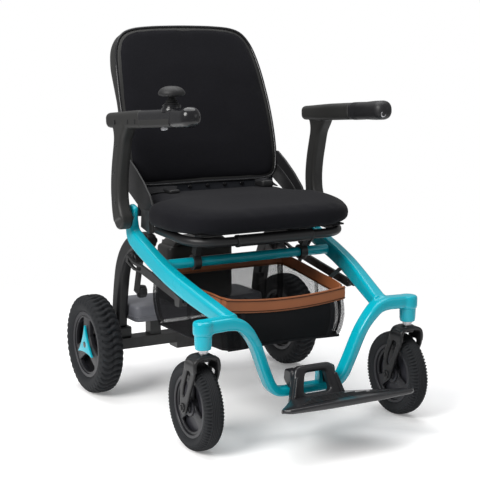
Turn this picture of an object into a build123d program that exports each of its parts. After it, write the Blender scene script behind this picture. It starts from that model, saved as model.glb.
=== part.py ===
"""Folding power wheelchair, in millimetres.

+Z is up and z = 0 is the floor. The chair faces -Y and +X is the sitter's left.
x = 0 is the plane of symmetry, and the footplate lip and the drive tyres are
as far in front of the origin as behind it.
"""

import os
from math import atan2, cos, degrees, radians, sin, tan

from build123d import *

# ---------------------------------------------------------------- overall sizes
LENGTH = 870.0  # footplate lip to the rear of the drive tyres
SEAT_Z = 441.0  # centre of the seat rails above the floor
DRIVE_TRACK = 570.0  # between the centre planes of the drive tyres
CASTER_TRACK = 544.0  # between the two caster stems

# ---------------------------------------------------------------- wheels
DRIVE_R = 125.0
DRIVE_W = 62.0
DRIVE_RIM_R = 83.0
DRIVE_RIM_W = 46.0
AXLE_R = 9.0
CASTER_R = 100.0
CASTER_W = 46.0
CASTER_RIM_R = 69.0
CASTER_RIM_W = 34.0
CASTER_TRAIL = 36.0
SPOKES = 3
CASTER_SPOKES = 5

# ---------------------------------------------------------------- front frame
FOOT_REACH = 188.0  # footplate lip to the foot bar
STEM_SETBACK = 182.0  # footplate lip to the caster stems
TUBE_X = 235.0  # centre plane of the side tubes at the seat
TUBE_W = 28.0
TUBE_H = 42.0
TUBE_FRONT_X = 201.0  # centre of a side tube where it meets the hoop
ARM_Z = 280.0  # centre of the caster arms
ARM_H = 30.0
ARM_D = 36.0
LEG_W = 22.0
LEG_D = 32.0
FOOT_BAR_Z = 108.0
FOOT_BAR_H = 22.0
FOOT_BAR_D = 26.0
FOOT_BAR_HALF = 92.0  # to the centre of each corner
BARREL_R = 19.0
BARREL_LOW = 234.0
CAP_R = 22.0
CROSS_R = 12.0
STEM_R = 8.0

# ---------------------------------------------------------------- rear frame
REAR_LEG_X = 204.0
REAR_LEG_W = 26.0
REAR_LEG_D = 34.0
BEAM_H = 27.0
BEAM_D = 44.0
BEAM_Z = 118.5
COVER_H = 42.0
COVER_Z = 174.0
BATTERY_W = 188.0
BATTERY_D = 84.0
BATTERY_H = 146.0
MOTOR_R = 38.0
PIN_R = 6.0
LINK_PIN_R = 4.0
LINK_W = 20.0
LINK_T = 7.0
FOLD_ANGLE = 50.0  # travel of the rear frame about the fold pivot

# ---------------------------------------------------------------- seat and back
RAIL_X = 208.0
RAIL_R = 11.0
RAIL_FRONT_Y = -98.0
RAIL_BEND = 72.0
RAIL_DROP = 9.0  # of the front bar below the rear of the rails
RAIL_SETBACK = 22.0  # rail ends in front of the backrest pivot
SLEEVE_R = 14.0
SLEEVE_HALF = 103.0
CUSHION_H = 62.0
CUSHION_REAR_HALF = 196.0
CUSHION_HALF = 252.0
SEAT_REAR_Y = 232.0
BACK_ANGLE = 17.0  # recline from vertical
BACK_LEN = 394.0
BACK_HALF = 210.0
BACK_T = 26.0
PLATE_T = 6.0
HINGE_W = 30.0

# ---------------------------------------------------------------- arms and foot
ARM_REACH = 388.0  # length of an arm pad and its nose
ARM_PAD_W = 46.0
ARM_PAD_H = 42.0
ARM_TOE = 3.6
ARM_RISE = 4.3
POST_W = 34.0
POST_T = 36.0
PIVOT_CAP_R = 26.0
STICK_R = 30.0
STICK_SEAT_R = 19.0
BUTTON_R = 8.0
RING_R = 11.5
BALL_R = 7.8
STALK_L = 20.0  # joystick pivot to the knob's underside
KNOB_H = 24.0
SOCKET_R = 6.0
SOCKET_DEPTH = 12.0
FOOT_HALF = 170.0
FOOT_T = 14.0
FOOT_TILT = 11.5  # toes up
FOOT_DROP = 27.0  # underside of the plate's rear edge below the foot bar's centre
ARCH_HALF = 62.0
ARCH_LEG_W = 27.0

# ---------------------------------------------------------------- basket
BASKET_HALF = 176.0
BASKET_FRONT_Y = -150.0
BASKET_REAR_Y = 168.0
BASKET_MID_Y = 20.0
BASKET_LOW = 180.0
RIM_H = 32.0
SKIN = 3.0

# ---------------------------------------------------------------- clearances
RUN = 0.05  # radial clearance of a shaft in its hole
SIDE = 0.3  # between faces of pieces that move past each other

# ---------------------------------------------------------------- derived places
FRONT = -LENGTH / 2
AXLE_Y = LENGTH / 2 - DRIVE_R
STEM_Y = FRONT + STEM_SETBACK
FOOT_Y = FRONT + FOOT_REACH
STEM_X = CASTER_TRACK / 2
DRIVE_X = DRIVE_TRACK / 2
TUBE_IN = TUBE_X - TUBE_W / 2
TUBE_OUT = TUBE_X + TUBE_W / 2
FOLD_PIVOT = (150.0, SEAT_Z - 36.0)
BACK_PIVOT = (118.0, SEAT_Z + 29.0)
ARM_PIVOT = (147.0, SEAT_Z + 24.0)
PLATE_REAR_Y = FOOT_Y - FOOT_BAR_D / 2 - SIDE
FOOT_PIVOT = (FOOT_Y + 2, FOOT_BAR_Z + 34.0)
CROSS = (18.0, SEAT_Z - 72.0)
TUBE_SPINE = [
    (150.0, SEAT_Z + 51.0),
    (162.0, SEAT_Z + 14.0),
    (155.0, SEAT_Z - 23.0),
    (120.0, SEAT_Z - 38.0),
    (20.0, SEAT_Z - 74.0),
    (-52.0, SEAT_Z - 97.0),
    (STEM_Y + 127.0, ARM_Z + 39.0),
    (STEM_Y + 12.0, ARM_Z + 5.0),
]
BACK_FOOT = (SEAT_REAR_Y, SEAT_Z + 94.0)
BACK_PLANE = Plane(
    origin=(0, *BACK_FOOT),
    x_dir=(1, 0, 0),
    z_dir=(0, -cos(radians(BACK_ANGLE)), sin(radians(BACK_ANGLE))),
)
PLATE_X = BACK_HALF + SIDE
CUSHION_Z = SEAT_Z + RAIL_R + SIDE
RIM_Z_FRONT = SEAT_Z - 156.0
RIM_Z_REAR = SEAT_Z - 130.0

os.makedirs("parts", exist_ok=True)


def save(piece, name):
    """Write one finished piece as its own node."""
    piece.label = name
    export_step(piece, f"parts/{name}.step")


def save_pair(piece, name):
    """Write a left piece and its mirror image on the right."""
    save(piece, f"{name}_left")
    save(mirror(piece, about=Plane.YZ), f"{name}_right")


def tube_z(y):
    """Height of a side tube's centre line at a distance y along the chair."""
    for (y_a, z_a), (y_b, z_b) in zip(TUBE_SPINE[3:], TUBE_SPINE[4:]):
        if y_b <= y <= y_a:
            return z_a + (z_b - z_a) * (y - y_a) / (y_b - y_a)
    return TUBE_SPINE[-1][1]


def under_tube(y):
    """Height just under a side tube."""
    slope = tube_z(y + 1) - tube_z(y)
    return tube_z(y) - TUBE_H / 2 * (1 + slope**2) ** 0.5 - SIDE


def side_slab(outline, x_low, x_high):
    """A flat plate with a polygonal side view, between two x values."""
    with BuildPart() as slab:
        with BuildSketch(Plane.YZ.offset(x_low)):
            with BuildLine():
                Polyline(*outline, close=True)
            make_face()
        extrude(amount=x_high - x_low)
    return slab.part


def beside(points, shift):
    """A line moved sideways by a distance, with mitred corners."""
    moved = []
    for i, (y, z) in enumerate(points):
        y_a, z_a = points[max(i - 1, 0)]
        y_b, z_b = points[min(i + 1, len(points) - 1)]
        before = atan2(z - z_a, y - y_a) if i else atan2(z_b - z, y_b - y)
        after = atan2(z_b - z, y_b - y) if i < len(points) - 1 else before
        middle = (before + after) / 2
        reach = shift / cos((after - before) / 2)
        moved.append((y - reach * sin(middle), z + reach * cos(middle)))
    return moved


def strip(points, width, x_low, x_high):
    """A plate that follows a line in the side view with a constant width."""
    outline = beside(points, width / 2) + beside(points, -width / 2)[::-1]
    return side_slab(outline, x_low, x_high)


def rod_x(x_low, x_high, y, z, radius, hole=0.0):
    """A round bar or bush along X."""
    with BuildPart() as rod:
        with BuildSketch(Plane.YZ.offset(x_low)):
            with Locations((y, z)):
                Circle(radius)
                if hole:
                    Circle(hole, mode=Mode.SUBTRACT)
        extrude(amount=x_high - x_low)
    return rod.part


def pipe(points, radius, bend):
    """A round tube as a solid bar bent along points."""
    with BuildPart() as bar:
        with BuildLine() as path:
            FilletPolyline(*points, radius=bend)
        with BuildSketch(Plane(origin=path.line @ 0, z_dir=path.line % 0)):
            Circle(radius)
        sweep()
    return bar.part


def bored(piece, x_low, x_high, y, z, radius):
    """The piece with a round hole along X."""
    with BuildPart() as drilled:
        add(piece)
        with BuildSketch(Plane.YZ.offset(x_low)):
            with Locations((y, z)):
                Circle(radius)
        extrude(amount=x_high - x_low, mode=Mode.SUBTRACT)
    return drilled.part


# ================================================================ front frame
def side_tube():
    """Side rail: its side view cut to a plan view that closes in at the front."""
    with BuildPart() as tube:
        with BuildSketch(Plane.YZ.offset(TUBE_FRONT_X - TUBE_W)):
            with BuildLine() as spine:
                FilletPolyline(*TUBE_SPINE, radius=28)
            trace(spine.line, line_width=TUBE_H)
        extrude(amount=TUBE_OUT - TUBE_FRONT_X + TUBE_W)
        front_y = STEM_Y + ARM_D / 2
        half = TUBE_W / 2
        with BuildSketch(Plane.XY.offset(0)):
            with BuildLine():
                Polyline(
                    (TUBE_IN, TUBE_SPINE[0][0] + 2 * TUBE_H),
                    (TUBE_OUT, TUBE_SPINE[0][0] + 2 * TUBE_H),
                    (TUBE_OUT, 0),
                    (TUBE_FRONT_X + half, front_y),
                    (TUBE_FRONT_X - half, front_y),
                    (TUBE_IN, 0),
                    close=True,
                )
            make_face()
        extrude(amount=TUBE_SPINE[0][1] + TUBE_H, mode=Mode.INTERSECT)
        with Locations(Location((TUBE_X, *FOLD_PIVOT), (0, 90, 0))):
            Cylinder(PIN_R, TUBE_W + 2, mode=Mode.SUBTRACT)
    return tube.part


HOOP_X = TUBE_FRONT_X - 40.0  # top of a hoop leg
SEAM_IN = (HOOP_X - 12, ARM_Z - ARM_H / 2 + 6)
SEAM_OUT = (HOOP_X + 12, ARM_Z - ARM_H / 2 - 10)


def caster_arm():
    """Arm from the side tube's front end out to the caster barrel."""
    low_z = ARM_Z - ARM_H / 2
    high_z = ARM_Z + ARM_H / 2
    with BuildPart() as arm:
        with BuildSketch(Plane.XZ.offset(-(STEM_Y + ARM_D / 2))):
            with BuildLine():
                Polyline(
                    (STEM_X + CAP_R, low_z),
                    (STEM_X + CAP_R, high_z),
                    (TUBE_FRONT_X + 34, high_z + 2),
                    (TUBE_FRONT_X, high_z + 13),
                    (TUBE_FRONT_X - 20, high_z + 13),
                    SEAM_IN,
                    SEAM_OUT,
                    (TUBE_FRONT_X + 6, low_z - 4),
                    close=True,
                )
            make_face()
        extrude(amount=ARM_D)
        with BuildSketch(Plane.XY.offset(low_z - ARM_H)):
            with Locations((STEM_X, STEM_Y)):
                Circle(BARREL_R)
        extrude(amount=3 * ARM_H, mode=Mode.SUBTRACT)
    return arm.part


def caster_barrel():
    """Vertical bearing housing of a caster stem, with its cap."""
    with BuildPart() as barrel:
        with BuildSketch(Plane.XY.offset(BARREL_LOW)):
            with Locations((STEM_X, STEM_Y)):
                Circle(BARREL_R)
        extrude(amount=ARM_Z + ARM_H / 2 - BARREL_LOW)
        with BuildSketch(Plane.XY.offset(BARREL_LOW)):
            with Locations((STEM_X, STEM_Y)):
                Circle(STEM_R + RUN)
        extrude(amount=ARM_Z - BARREL_LOW, mode=Mode.SUBTRACT)
    return barrel.part


LEG_LOW = (FOOT_BAR_HALF + 4, FOOT_BAR_Z + FOOT_BAR_H / 2 + 14)


def hoop_leg():
    """Leg of the front hoop, from the caster arm down to the foot bar."""
    with BuildPart() as leg:
        with BuildSketch(Plane.XZ.offset(-(FOOT_Y + LEG_D / 2))):
            with BuildLine():
                Polyline(
                    SEAM_IN,
                    SEAM_OUT,
                    (LEG_LOW[0] + 34, LEG_LOW[1] + 52),
                    (LEG_LOW[0] + LEG_W / 2, LEG_LOW[1]),
                    (LEG_LOW[0] - LEG_W / 2, LEG_LOW[1]),
                    (LEG_LOW[0] + 10, LEG_LOW[1] + 52),
                    close=True,
                )
            make_face()
        extrude(amount=LEG_D)
    return leg.part


def foot_bar():
    """Bottom bar of the hoop with its two turned-up corners."""
    with BuildPart() as bar:
        with BuildSketch(Plane.XZ.offset(-(FOOT_Y + FOOT_BAR_D / 2))):
            with BuildLine() as line:
                FilletPolyline(
                    (-LEG_LOW[0], LEG_LOW[1]),
                    (-FOOT_BAR_HALF + 2, FOOT_BAR_Z),
                    (FOOT_BAR_HALF - 2, FOOT_BAR_Z),
                    (LEG_LOW[0], LEG_LOW[1]),
                    radius=12,
                )
            trace(line.line, line_width=FOOT_BAR_H)
        extrude(amount=FOOT_BAR_D)
        with BuildSketch(Plane.XY.offset(LEG_LOW[1])):
            Rectangle(LENGTH, LENGTH)
        extrude(amount=TUBE_H, mode=Mode.SUBTRACT)
    return bar.part


CLAMP_X = 148.0


def cross_clamp():
    """Lug clamped on the cross tube, with the foot of a seat strut bolted to it."""
    return rod_x(CLAMP_X - 9, CLAMP_X + 9, *CROSS, CROSS_R + 6, CROSS_R)


STRUT_TOP = (-8.0, SEAT_Z + 3.0)


def seat_strut():
    """Notched strut from the cross tube up to the seat panel."""
    foot = (CROSS[0] - 3, CROSS[1] + CROSS_R + 7)
    return strip([foot, STRUT_TOP], 20, CLAMP_X - 7, CLAMP_X + 7)


def link_tab():
    """Tab under a side tube that carries the front pin of a fold link."""
    y, z = LINK_FRONT
    outline = [
        (y - 14, under_tube(y - 14)),
        (y, under_tube(y)),
        (y + 14, under_tube(y + 14)),
        (y + 10, z - 9),
        (y - 10, z - 9),
    ]
    return side_slab(outline, TUBE_IN + 15, TUBE_IN + 23)


LINK_FRONT = (-74.0, SEAT_Z - 142.0)
LINK_REAR = (222.0, SEAT_Z - 91.0)


def turned(point, centre, angle):
    """The point turned about a centre in the side view, by degrees about +X."""
    a = radians(angle)
    y = point[0] - centre[0]
    z = point[1] - centre[1]
    return centre[0] + y * cos(a) - z * sin(a), centre[1] + y * sin(a) + z * cos(a)


def link_direction(fold):
    """Angle of the line from a link's front pin to its rear pin at a fold."""
    y, z = turned(LINK_REAR, FOLD_PIVOT, -fold)
    return degrees(atan2(z - LINK_FRONT[1], y - LINK_FRONT[0]))


LINK_TURN = link_direction(0) - link_direction(FOLD_ANGLE)  # over the whole fold
LINK_X = TUBE_IN + 1.0


def slot_points(steps):
    """Where the rear pin lies in the link at even steps of the fold."""
    points = []
    for step in range(steps + 1):
        fold = FOLD_ANGLE * step / steps
        pin = turned(LINK_REAR, FOLD_PIVOT, -fold)
        points.append(turned(pin, LINK_FRONT, LINK_TURN * step / steps))
    return points


def fold_link():
    """Flat link with a hole for its front pin and a curved slot for the rear one."""
    slot = slot_points(4)
    ahead = (slot[0][0] + 12.0, slot[0][1] + 2.0)
    with BuildPart() as link:
        with BuildSketch(Plane.YZ.offset(LINK_X)):
            with BuildLine() as bar:
                Polyline(LINK_FRONT, slot[-1], slot[2], ahead)
            trace(bar.line, line_width=LINK_W)
            with Locations(LINK_FRONT):
                Circle(LINK_W / 2)
                Circle(LINK_PIN_R + RUN, mode=Mode.SUBTRACT)
        extrude(amount=LINK_T)
        with BuildSketch(Plane.YZ.offset(LINK_X)):
            with BuildLine() as way:
                Spline(*slot)
            trace(way.line, line_width=2 * (LINK_PIN_R + SIDE))
            with Locations(slot[0], slot[-1]):
                Circle(LINK_PIN_R + SIDE)
        extrude(amount=LINK_T, mode=Mode.SUBTRACT)
    return link.part


def seat_frame():
    """Seat tube: two rails and the front bar in one U."""
    front_z = SEAT_Z - RAIL_DROP
    return pipe(
        [
            (-RAIL_X, BACK_PIVOT[0] - RAIL_SETBACK, SEAT_Z),
            (-RAIL_X, RAIL_FRONT_Y, front_z),
            (RAIL_X, RAIL_FRONT_Y, front_z),
            (RAIL_X, BACK_PIVOT[0] - RAIL_SETBACK, SEAT_Z),
        ],
        RAIL_R,
        RAIL_BEND,
    )


def front_sleeve():
    """Grip sleeve round the middle of the seat's front bar."""
    return rod_x(
        -SLEEVE_HALF, SLEEVE_HALF, RAIL_FRONT_Y, SEAT_Z - RAIL_DROP, SLEEVE_R, RAIL_R + 0.01
    )


BRACKET_IN = PLATE_X + PLATE_T + SIDE


def seat_bracket():
    """Plate that joins a side tube, a seat rail and the backrest pivot."""
    y, z = BACK_PIVOT
    outline = [
        (y - RAIL_SETBACK + SIDE, SEAT_Z - 9),
        (y - RAIL_SETBACK + SIDE, SEAT_Z + 12),
        (y - 12, z + 12),
        (y + 12, z + 14),
        (y + 40, z + 10),
        (y + 44, SEAT_Z - 2),
        (y + 12, SEAT_Z - 9),
    ]
    return side_slab(outline, BRACKET_IN, TUBE_IN)


def seat_cushion():
    """Seat cushion, wide over the rails and narrow between the hinge plates."""
    with BuildPart() as cushion:
        with BuildSketch(Plane.XY.offset(CUSHION_Z)):
            with BuildLine():
                Polyline(
                    (0, SEAT_REAR_Y),
                    (CUSHION_REAR_HALF, SEAT_REAR_Y),
                    (CUSHION_REAR_HALF, 92),
                    (CUSHION_HALF, 56),
                    (CUSHION_HALF, -20),
                    (CUSHION_HALF - 16, -56),
                    (CUSHION_HALF - 46, -104),
                    (CUSHION_HALF - 92, -128),
                    (0, -134),
                    close=True,
                )
            make_face()
            mirror(about=Plane.YZ)
        extrude(amount=CUSHION_H)
        fillet(cushion.faces().sort_by(Axis.Z)[-1].edges(), 16)
    return cushion.part


def seat_panel():
    """Fabric sling under the cushion, laced between the rails."""
    with BuildPart() as panel:
        with BuildSketch(Plane.XY.offset(CUSHION_Z - 4)):
            with Locations((0, 44)):
                Rectangle(2 * (RAIL_X - RAIL_R - 3), 2 * 142)
        extrude(amount=4)
    return panel.part


def rear_strip():
    """Upright fabric strip that closes the gap behind the cushion."""
    with BuildPart() as band:
        with BuildSketch(Plane.XY.offset(CUSHION_Z)):
            with Locations((0, SEAT_REAR_Y + 3)):
                Rectangle(2 * CUSHION_REAR_HALF, 5)
        extrude(amount=75)
    return band.part


BELT_Z = CUSHION_Z + CUSHION_H + SIDE
BUCKLE_Y = SEAT_REAR_Y - 58.0
BUCKLE_X = 132.0


def belt_half(side):
    """Lap belt half lying on the rear of the cushion."""
    with BuildPart() as belt:
        with BuildSketch(Plane.XY.offset(BELT_Z)):
            with BuildLine() as run:
                Line((side * (CUSHION_REAR_HALF - 8), SEAT_REAR_Y - 22), (side * 146, BUCKLE_Y + 40))
            trace(run.line, line_width=30)
        extrude(amount=3)
    return belt.part


BUCKLE_H = 17.0
BUTTON_SINK = 5.0
BUTTON_L = 20.0


def buckle():
    """Belt buckle with a pocket for its release button."""
    with BuildPart() as shell:
        with Locations((BUCKLE_X, BUCKLE_Y, BELT_Z)):
            Box(34, 46, BUCKLE_H, align=(Align.CENTER, Align.CENTER, Align.MIN))
        fillet(shell.edges().filter_by(Axis.Z), 8)
        with Locations((BUCKLE_X, BUCKLE_Y, BELT_Z + BUCKLE_H - BUTTON_SINK)):
            Box(
                BUTTON_L,
                BUTTON_L,
                2 * BUTTON_SINK,
                align=(Align.CENTER, Align.CENTER, Align.MIN),
                mode=Mode.SUBTRACT,
            )
    return shell.part


def tongue():
    """Belt tongue with its grip."""
    with BuildPart() as plate:
        with Locations((-BUCKLE_X, BUCKLE_Y, BELT_Z)):
            Box(30, 46, 9, align=(Align.CENTER, Align.CENTER, Align.MIN))
        fillet(plate.edges().filter_by(Axis.Z), 8)
    return plate.part


BUTTON_TRAVEL = 2.0


def buckle_button():
    """Release button sunk in the buckle's top face, clear by its travel."""
    low = BELT_Z + BUCKLE_H - BUTTON_SINK + BUTTON_TRAVEL + SIDE
    size = BUTTON_L - 2 * SIDE
    with BuildPart() as button:
        with Locations((BUCKLE_X, BUCKLE_Y, low)):
            Box(size, size, BUTTON_SINK, align=(Align.CENTER, Align.CENTER, Align.MIN))
    return button.part


LEVER_PIVOT = (BACK_PIVOT[0] - 10, SEAT_Z)
LEVER_T = 7.0


def seat_lever():
    """Hooked lever that frees the seat, on the outer face of a bracket."""
    y, z = LEVER_PIVOT
    outline = [
        (y - 9, z - 10),
        (y + 6, z - 10),
        (y + 8, z + 24),
        (y + 3, z + 38),
        (y - 12, z + 40),
        (y - 14, z + 28),
        (y - 6, z + 20),
    ]
    return side_slab(outline, TUBE_IN + SIDE, TUBE_IN + SIDE + LEVER_T)


# ================================================================ basket
def basket_ring(half, front_y, rear_y):
    """Plan outline of the basket."""
    with BuildSketch() as ring:
        with BuildLine():
            Polyline(
                (half - 16, rear_y),
                (half + 6, BASKET_MID_Y),
                (half - 20, front_y + 14),
                (0, front_y - 16),
                (-half + 20, front_y + 14),
                (-half - 6, BASKET_MID_Y),
                (-half + 16, rear_y),
                close=True,
            )
        make_face()
    return ring.sketch


def basket_bag():
    """Open-topped fabric bag that tapers to its floor."""
    top = RIM_Z_FRONT
    plan = basket_ring(BASKET_HALF, BASKET_FRONT_Y, BASKET_REAR_Y)
    floor_plan = basket_ring(BASKET_HALF - 22, BASKET_FRONT_Y + 24, BASKET_REAR_Y - 6)
    inner = basket_ring(BASKET_HALF - SKIN, BASKET_FRONT_Y + SKIN, BASKET_REAR_Y - SKIN)
    inner_floor = basket_ring(
        BASKET_HALF - 22 - SKIN, BASKET_FRONT_Y + 24 + SKIN, BASKET_REAR_Y - 6 - SKIN
    )
    with BuildPart() as bag:
        with BuildSketch(Plane.XY.offset(BASKET_LOW)):
            add(floor_plan)
        with BuildSketch(Plane.XY.offset(top)):
            add(plan)
        loft()
        with BuildSketch(Plane.XY.offset(BASKET_LOW + SKIN)):
            add(inner_floor)
        with BuildSketch(Plane.XY.offset(top)):
            add(inner)
        loft(mode=Mode.SUBTRACT)
    return bag.part


def basket_rim():
    """Band round the mouth of the basket, higher at the rear."""
    with BuildPart() as rim:
        with BuildSketch(Plane.XY.offset(RIM_Z_FRONT)):
            add(basket_ring(BASKET_HALF + 0.5, BASKET_FRONT_Y, BASKET_REAR_Y))
            add(
                basket_ring(BASKET_HALF - SKIN, BASKET_FRONT_Y + SKIN, BASKET_REAR_Y - SKIN),
                mode=Mode.SUBTRACT,
            )
        extrude(amount=RIM_H + RIM_Z_REAR - RIM_Z_FRONT)
        slope = side_slab(
            [
                (BASKET_FRONT_Y - 40, RIM_Z_FRONT + RIM_H),
                (BASKET_REAR_Y + 40, RIM_Z_REAR + RIM_H),
                (BASKET_REAR_Y + 40, SEAT_Z),
                (BASKET_FRONT_Y - 40, SEAT_Z),
            ],
            -STEM_X,
            STEM_X,
        )
        add(slope, mode=Mode.SUBTRACT)
    return rim.part


HOOK_W = 16.0
HOOK_YS = (-60.0, 90.0)


def basket_side(y):
    """Half width of the basket's mouth at a distance along the chair."""
    wide = BASKET_HALF + 6.5
    if y < BASKET_MID_Y:
        narrow = BASKET_HALF - 19.5
        return narrow + (wide - narrow) * (y - BASKET_FRONT_Y - 14) / (BASKET_MID_Y - BASKET_FRONT_Y - 14)
    narrow = BASKET_HALF - 15.5
    return narrow + (wide - narrow) * (BASKET_REAR_Y - y) / (BASKET_REAR_Y - BASKET_MID_Y)


def tube_inner(y):
    """Inner face of a side tube at a distance along the chair."""
    end = STEM_Y + ARM_D / 2
    if y >= 0:
        return TUBE_IN
    return TUBE_IN + (TUBE_FRONT_X - TUBE_W / 2 - TUBE_IN) * y / end


def basket_hook(y):
    """Webbing loop that hangs the basket's rim on a side tube."""
    start = max(basket_side(y - HOOK_W / 2), basket_side(y + HOOK_W / 2)) + SIDE
    end = min(tube_inner(y - HOOK_W / 2), tube_inner(y + HOOK_W / 2)) - SIDE
    low = RIM_Z_FRONT + 20
    high = tube_z(y) - TUBE_H / 4
    with BuildPart() as hook:
        with BuildSketch(Plane.XZ.offset(-(y + HOOK_W / 2))):
            with BuildLine():
                Polyline((start, low), (end, high), (end, high + 3), (start, low + 3), close=True)
            make_face()
        extrude(amount=HOOK_W)
    return hook.part


# ================================================================ rear frame
CLAMP_H = 27.0
REAR_SPINE = [
    FOLD_PIVOT,
    (215.0, FOLD_PIVOT[1] - 27),
    (268.0, FOLD_PIVOT[1] - 63),
    (300.0, FOLD_PIVOT[1] - 115),
    (AXLE_Y + 8, 230.0),
    (AXLE_Y + 15, BEAM_Z),
]
LEG_IN = REAR_LEG_X - REAR_LEG_W / 2
LEG_OUT = REAR_LEG_X + REAR_LEG_W / 2


def rear_leg():
    """Leg from the fold pivot back and down to the axle beam."""
    leg = strip(REAR_SPINE, REAR_LEG_D, LEG_IN, LEG_OUT)
    with BuildPart() as piece:
        add(leg)
        with BuildSketch(Plane.YZ.offset(LEG_IN)):
            with Locations(FOLD_PIVOT):
                Circle(REAR_LEG_D / 2)
            with Locations(LINK_REAR):
                Circle(12)
        extrude(amount=REAR_LEG_W)
        with Locations((REAR_LEG_X, AXLE_Y, BEAM_Z + BEAM_H / 2 + CLAMP_H)):
            Box(
                2 * REAR_LEG_W,
                4 * REAR_LEG_D,
                2 * CLAMP_H,
                align=(Align.CENTER, Align.CENTER, Align.MAX),
                mode=Mode.SUBTRACT,
            )
    return bored(piece.part, LEG_IN - 1, LEG_OUT + 1, *FOLD_PIVOT, PIN_R + RUN)


def fold_pin():
    """Bolt of the fold pivot, through the rear leg and the side tube."""
    return rod_x(LEG_IN - 6, TUBE_OUT + 3, *FOLD_PIVOT, PIN_R)


def link_pin_front():
    """Pin of a fold link in its tab."""
    return rod_x(LINK_X - 2, TUBE_IN + 15, *LINK_FRONT, LINK_PIN_R)


def link_pin_rear():
    """Pin on the rear leg that slides in the link's slot."""
    return rod_x(LEG_OUT, LINK_X + LINK_T + 2, *LINK_REAR, LINK_PIN_R)


def leg_clamp():
    """Clamp block that holds a rear leg on the motor mount."""
    with BuildPart() as clamp:
        with Locations((REAR_LEG_X, AXLE_Y + 12, BEAM_Z + BEAM_H / 2)):
            Box(REAR_LEG_W + 8, 48, CLAMP_H, align=(Align.CENTER, Align.CENTER, Align.MIN))
        fillet(clamp.edges().filter_by(Axis.X), 4)
    return clamp.part


def axle_beam():
    """Beam across the chair between the motors, with a keel under its middle."""
    with BuildPart() as beam:
        with Locations((0, AXLE_Y, BEAM_Z)):
            Box(2 * (REAR_LEG_X + 18), BEAM_D, BEAM_H)
        with Locations((0, AXLE_Y, BEAM_Z - BEAM_H / 2)):
            Box(124, BEAM_D, 16, align=(Align.CENTER, Align.CENTER, Align.MAX))
    return beam.part


def base_cover():
    """Low cover over the electronics between the rear legs."""
    half = LEG_IN - 2
    y = AXLE_Y - 44
    with BuildPart() as cover:
        with BuildSketch(Plane.YZ.offset(-half)):
            with BuildLine():
                Polyline(
                    (y, COVER_Z),
                    (y, COVER_Z + 20),
                    (y + 24, COVER_Z + COVER_H),
                    (y + 130, COVER_Z + COVER_H),
                    (y + 148, COVER_Z + 10),
                    (y + 148, COVER_Z),
                    close=True,
                )
            make_face()
        extrude(amount=2 * half)
        fillet(cover.edges().filter_by(Axis.X).group_by(Axis.Z)[-1], 8)
    return cover.part


def cover_posts():
    """Standoffs that carry the cover on the axle beam."""
    low = BEAM_Z + BEAM_H / 2
    with BuildPart() as posts:
        with Locations((0, AXLE_Y, low)):
            with GridLocations(240, 1, 2, 1):
                Box(30, 30, COVER_Z - low, align=(Align.CENTER, Align.CENTER, Align.MIN))
    return posts.part


BATTERY_Y = AXLE_Y - 6.0
BATTERY_LOW = COVER_Z + COVER_H + SIDE


def battery_case():
    """Lift-out battery standing on the base cover."""
    with BuildPart() as case:
        with Locations((0, BATTERY_Y, BATTERY_LOW)):
            Box(BATTERY_W, BATTERY_D, BATTERY_H, align=(Align.CENTER, Align.CENTER, Align.MIN))
        fillet(case.edges().filter_by(Axis.Z), 14)
        fillet(case.faces().sort_by(Axis.Z)[-1].edges(), 18)
    return case.part


def battery_handle():
    """Carrying loop on top of the battery."""
    z = BATTERY_LOW + BATTERY_H
    return pipe(
        [
            (-45, BATTERY_Y, z - 1),
            (-45, BATTERY_Y, z + 18),
            (45, BATTERY_Y, z + 18),
            (45, BATTERY_Y, z - 1),
        ],
        5,
        10,
    )


def lock_bar():
    """Bar inside a rear leg that carries the fold lock knob."""
    x = LEG_IN - 9
    top = (REAR_SPINE[1][0] + 16, REAR_SPINE[1][1] - 4)
    return strip([top, KNOB], 16, x, LEG_IN)


KNOB = (266.0, SEAT_Z - 185.0)


def lock_knob():
    """Knob that frees the fold lock, pulled inwards."""
    x = LEG_IN - 9 - SIDE
    with BuildPart() as knob:
        with BuildSketch(Plane.YZ.offset(x - 20)):
            with Locations(KNOB):
                Circle(17)
        extrude(amount=20)
        fillet(knob.faces().sort_by(Axis.X)[0].edges(), 6)
    return knob.part


def motor():
    """Hub gear motor inside a drive wheel."""
    inner = LEG_OUT + 5
    with BuildPart() as drive:
        with BuildSketch(Plane.YZ.offset(inner)):
            with Locations((AXLE_Y, DRIVE_R)):
                Circle(MOTOR_R)
        extrude(amount=DRIVE_X - DRIVE_RIM_W / 2 - SIDE - inner)
        fillet(drive.faces().sort_by(Axis.X)[0].edges(), 5)
        with BuildSketch(Plane.YZ.offset(inner)):
            with Locations((AXLE_Y, DRIVE_R)):
                Circle(AXLE_R - RUN)
        extrude(amount=DRIVE_X + 20 - inner)
    return drive.part


# ================================================================ wheels
def tyre(x, y, z, radius, inner, width):
    """Pneumatic tyre section with rounded shoulders, turned about X."""
    with BuildPart() as ring:
        with BuildSketch(Plane.XY.offset(z)):
            with Locations((x, y + (radius + inner) / 2)):
                RectangleRounded(width, radius - inner, 0.42 * (radius - inner))
        revolve(axis=Axis((x, y, z), (1, 0, 0)))
    return ring.part


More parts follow.
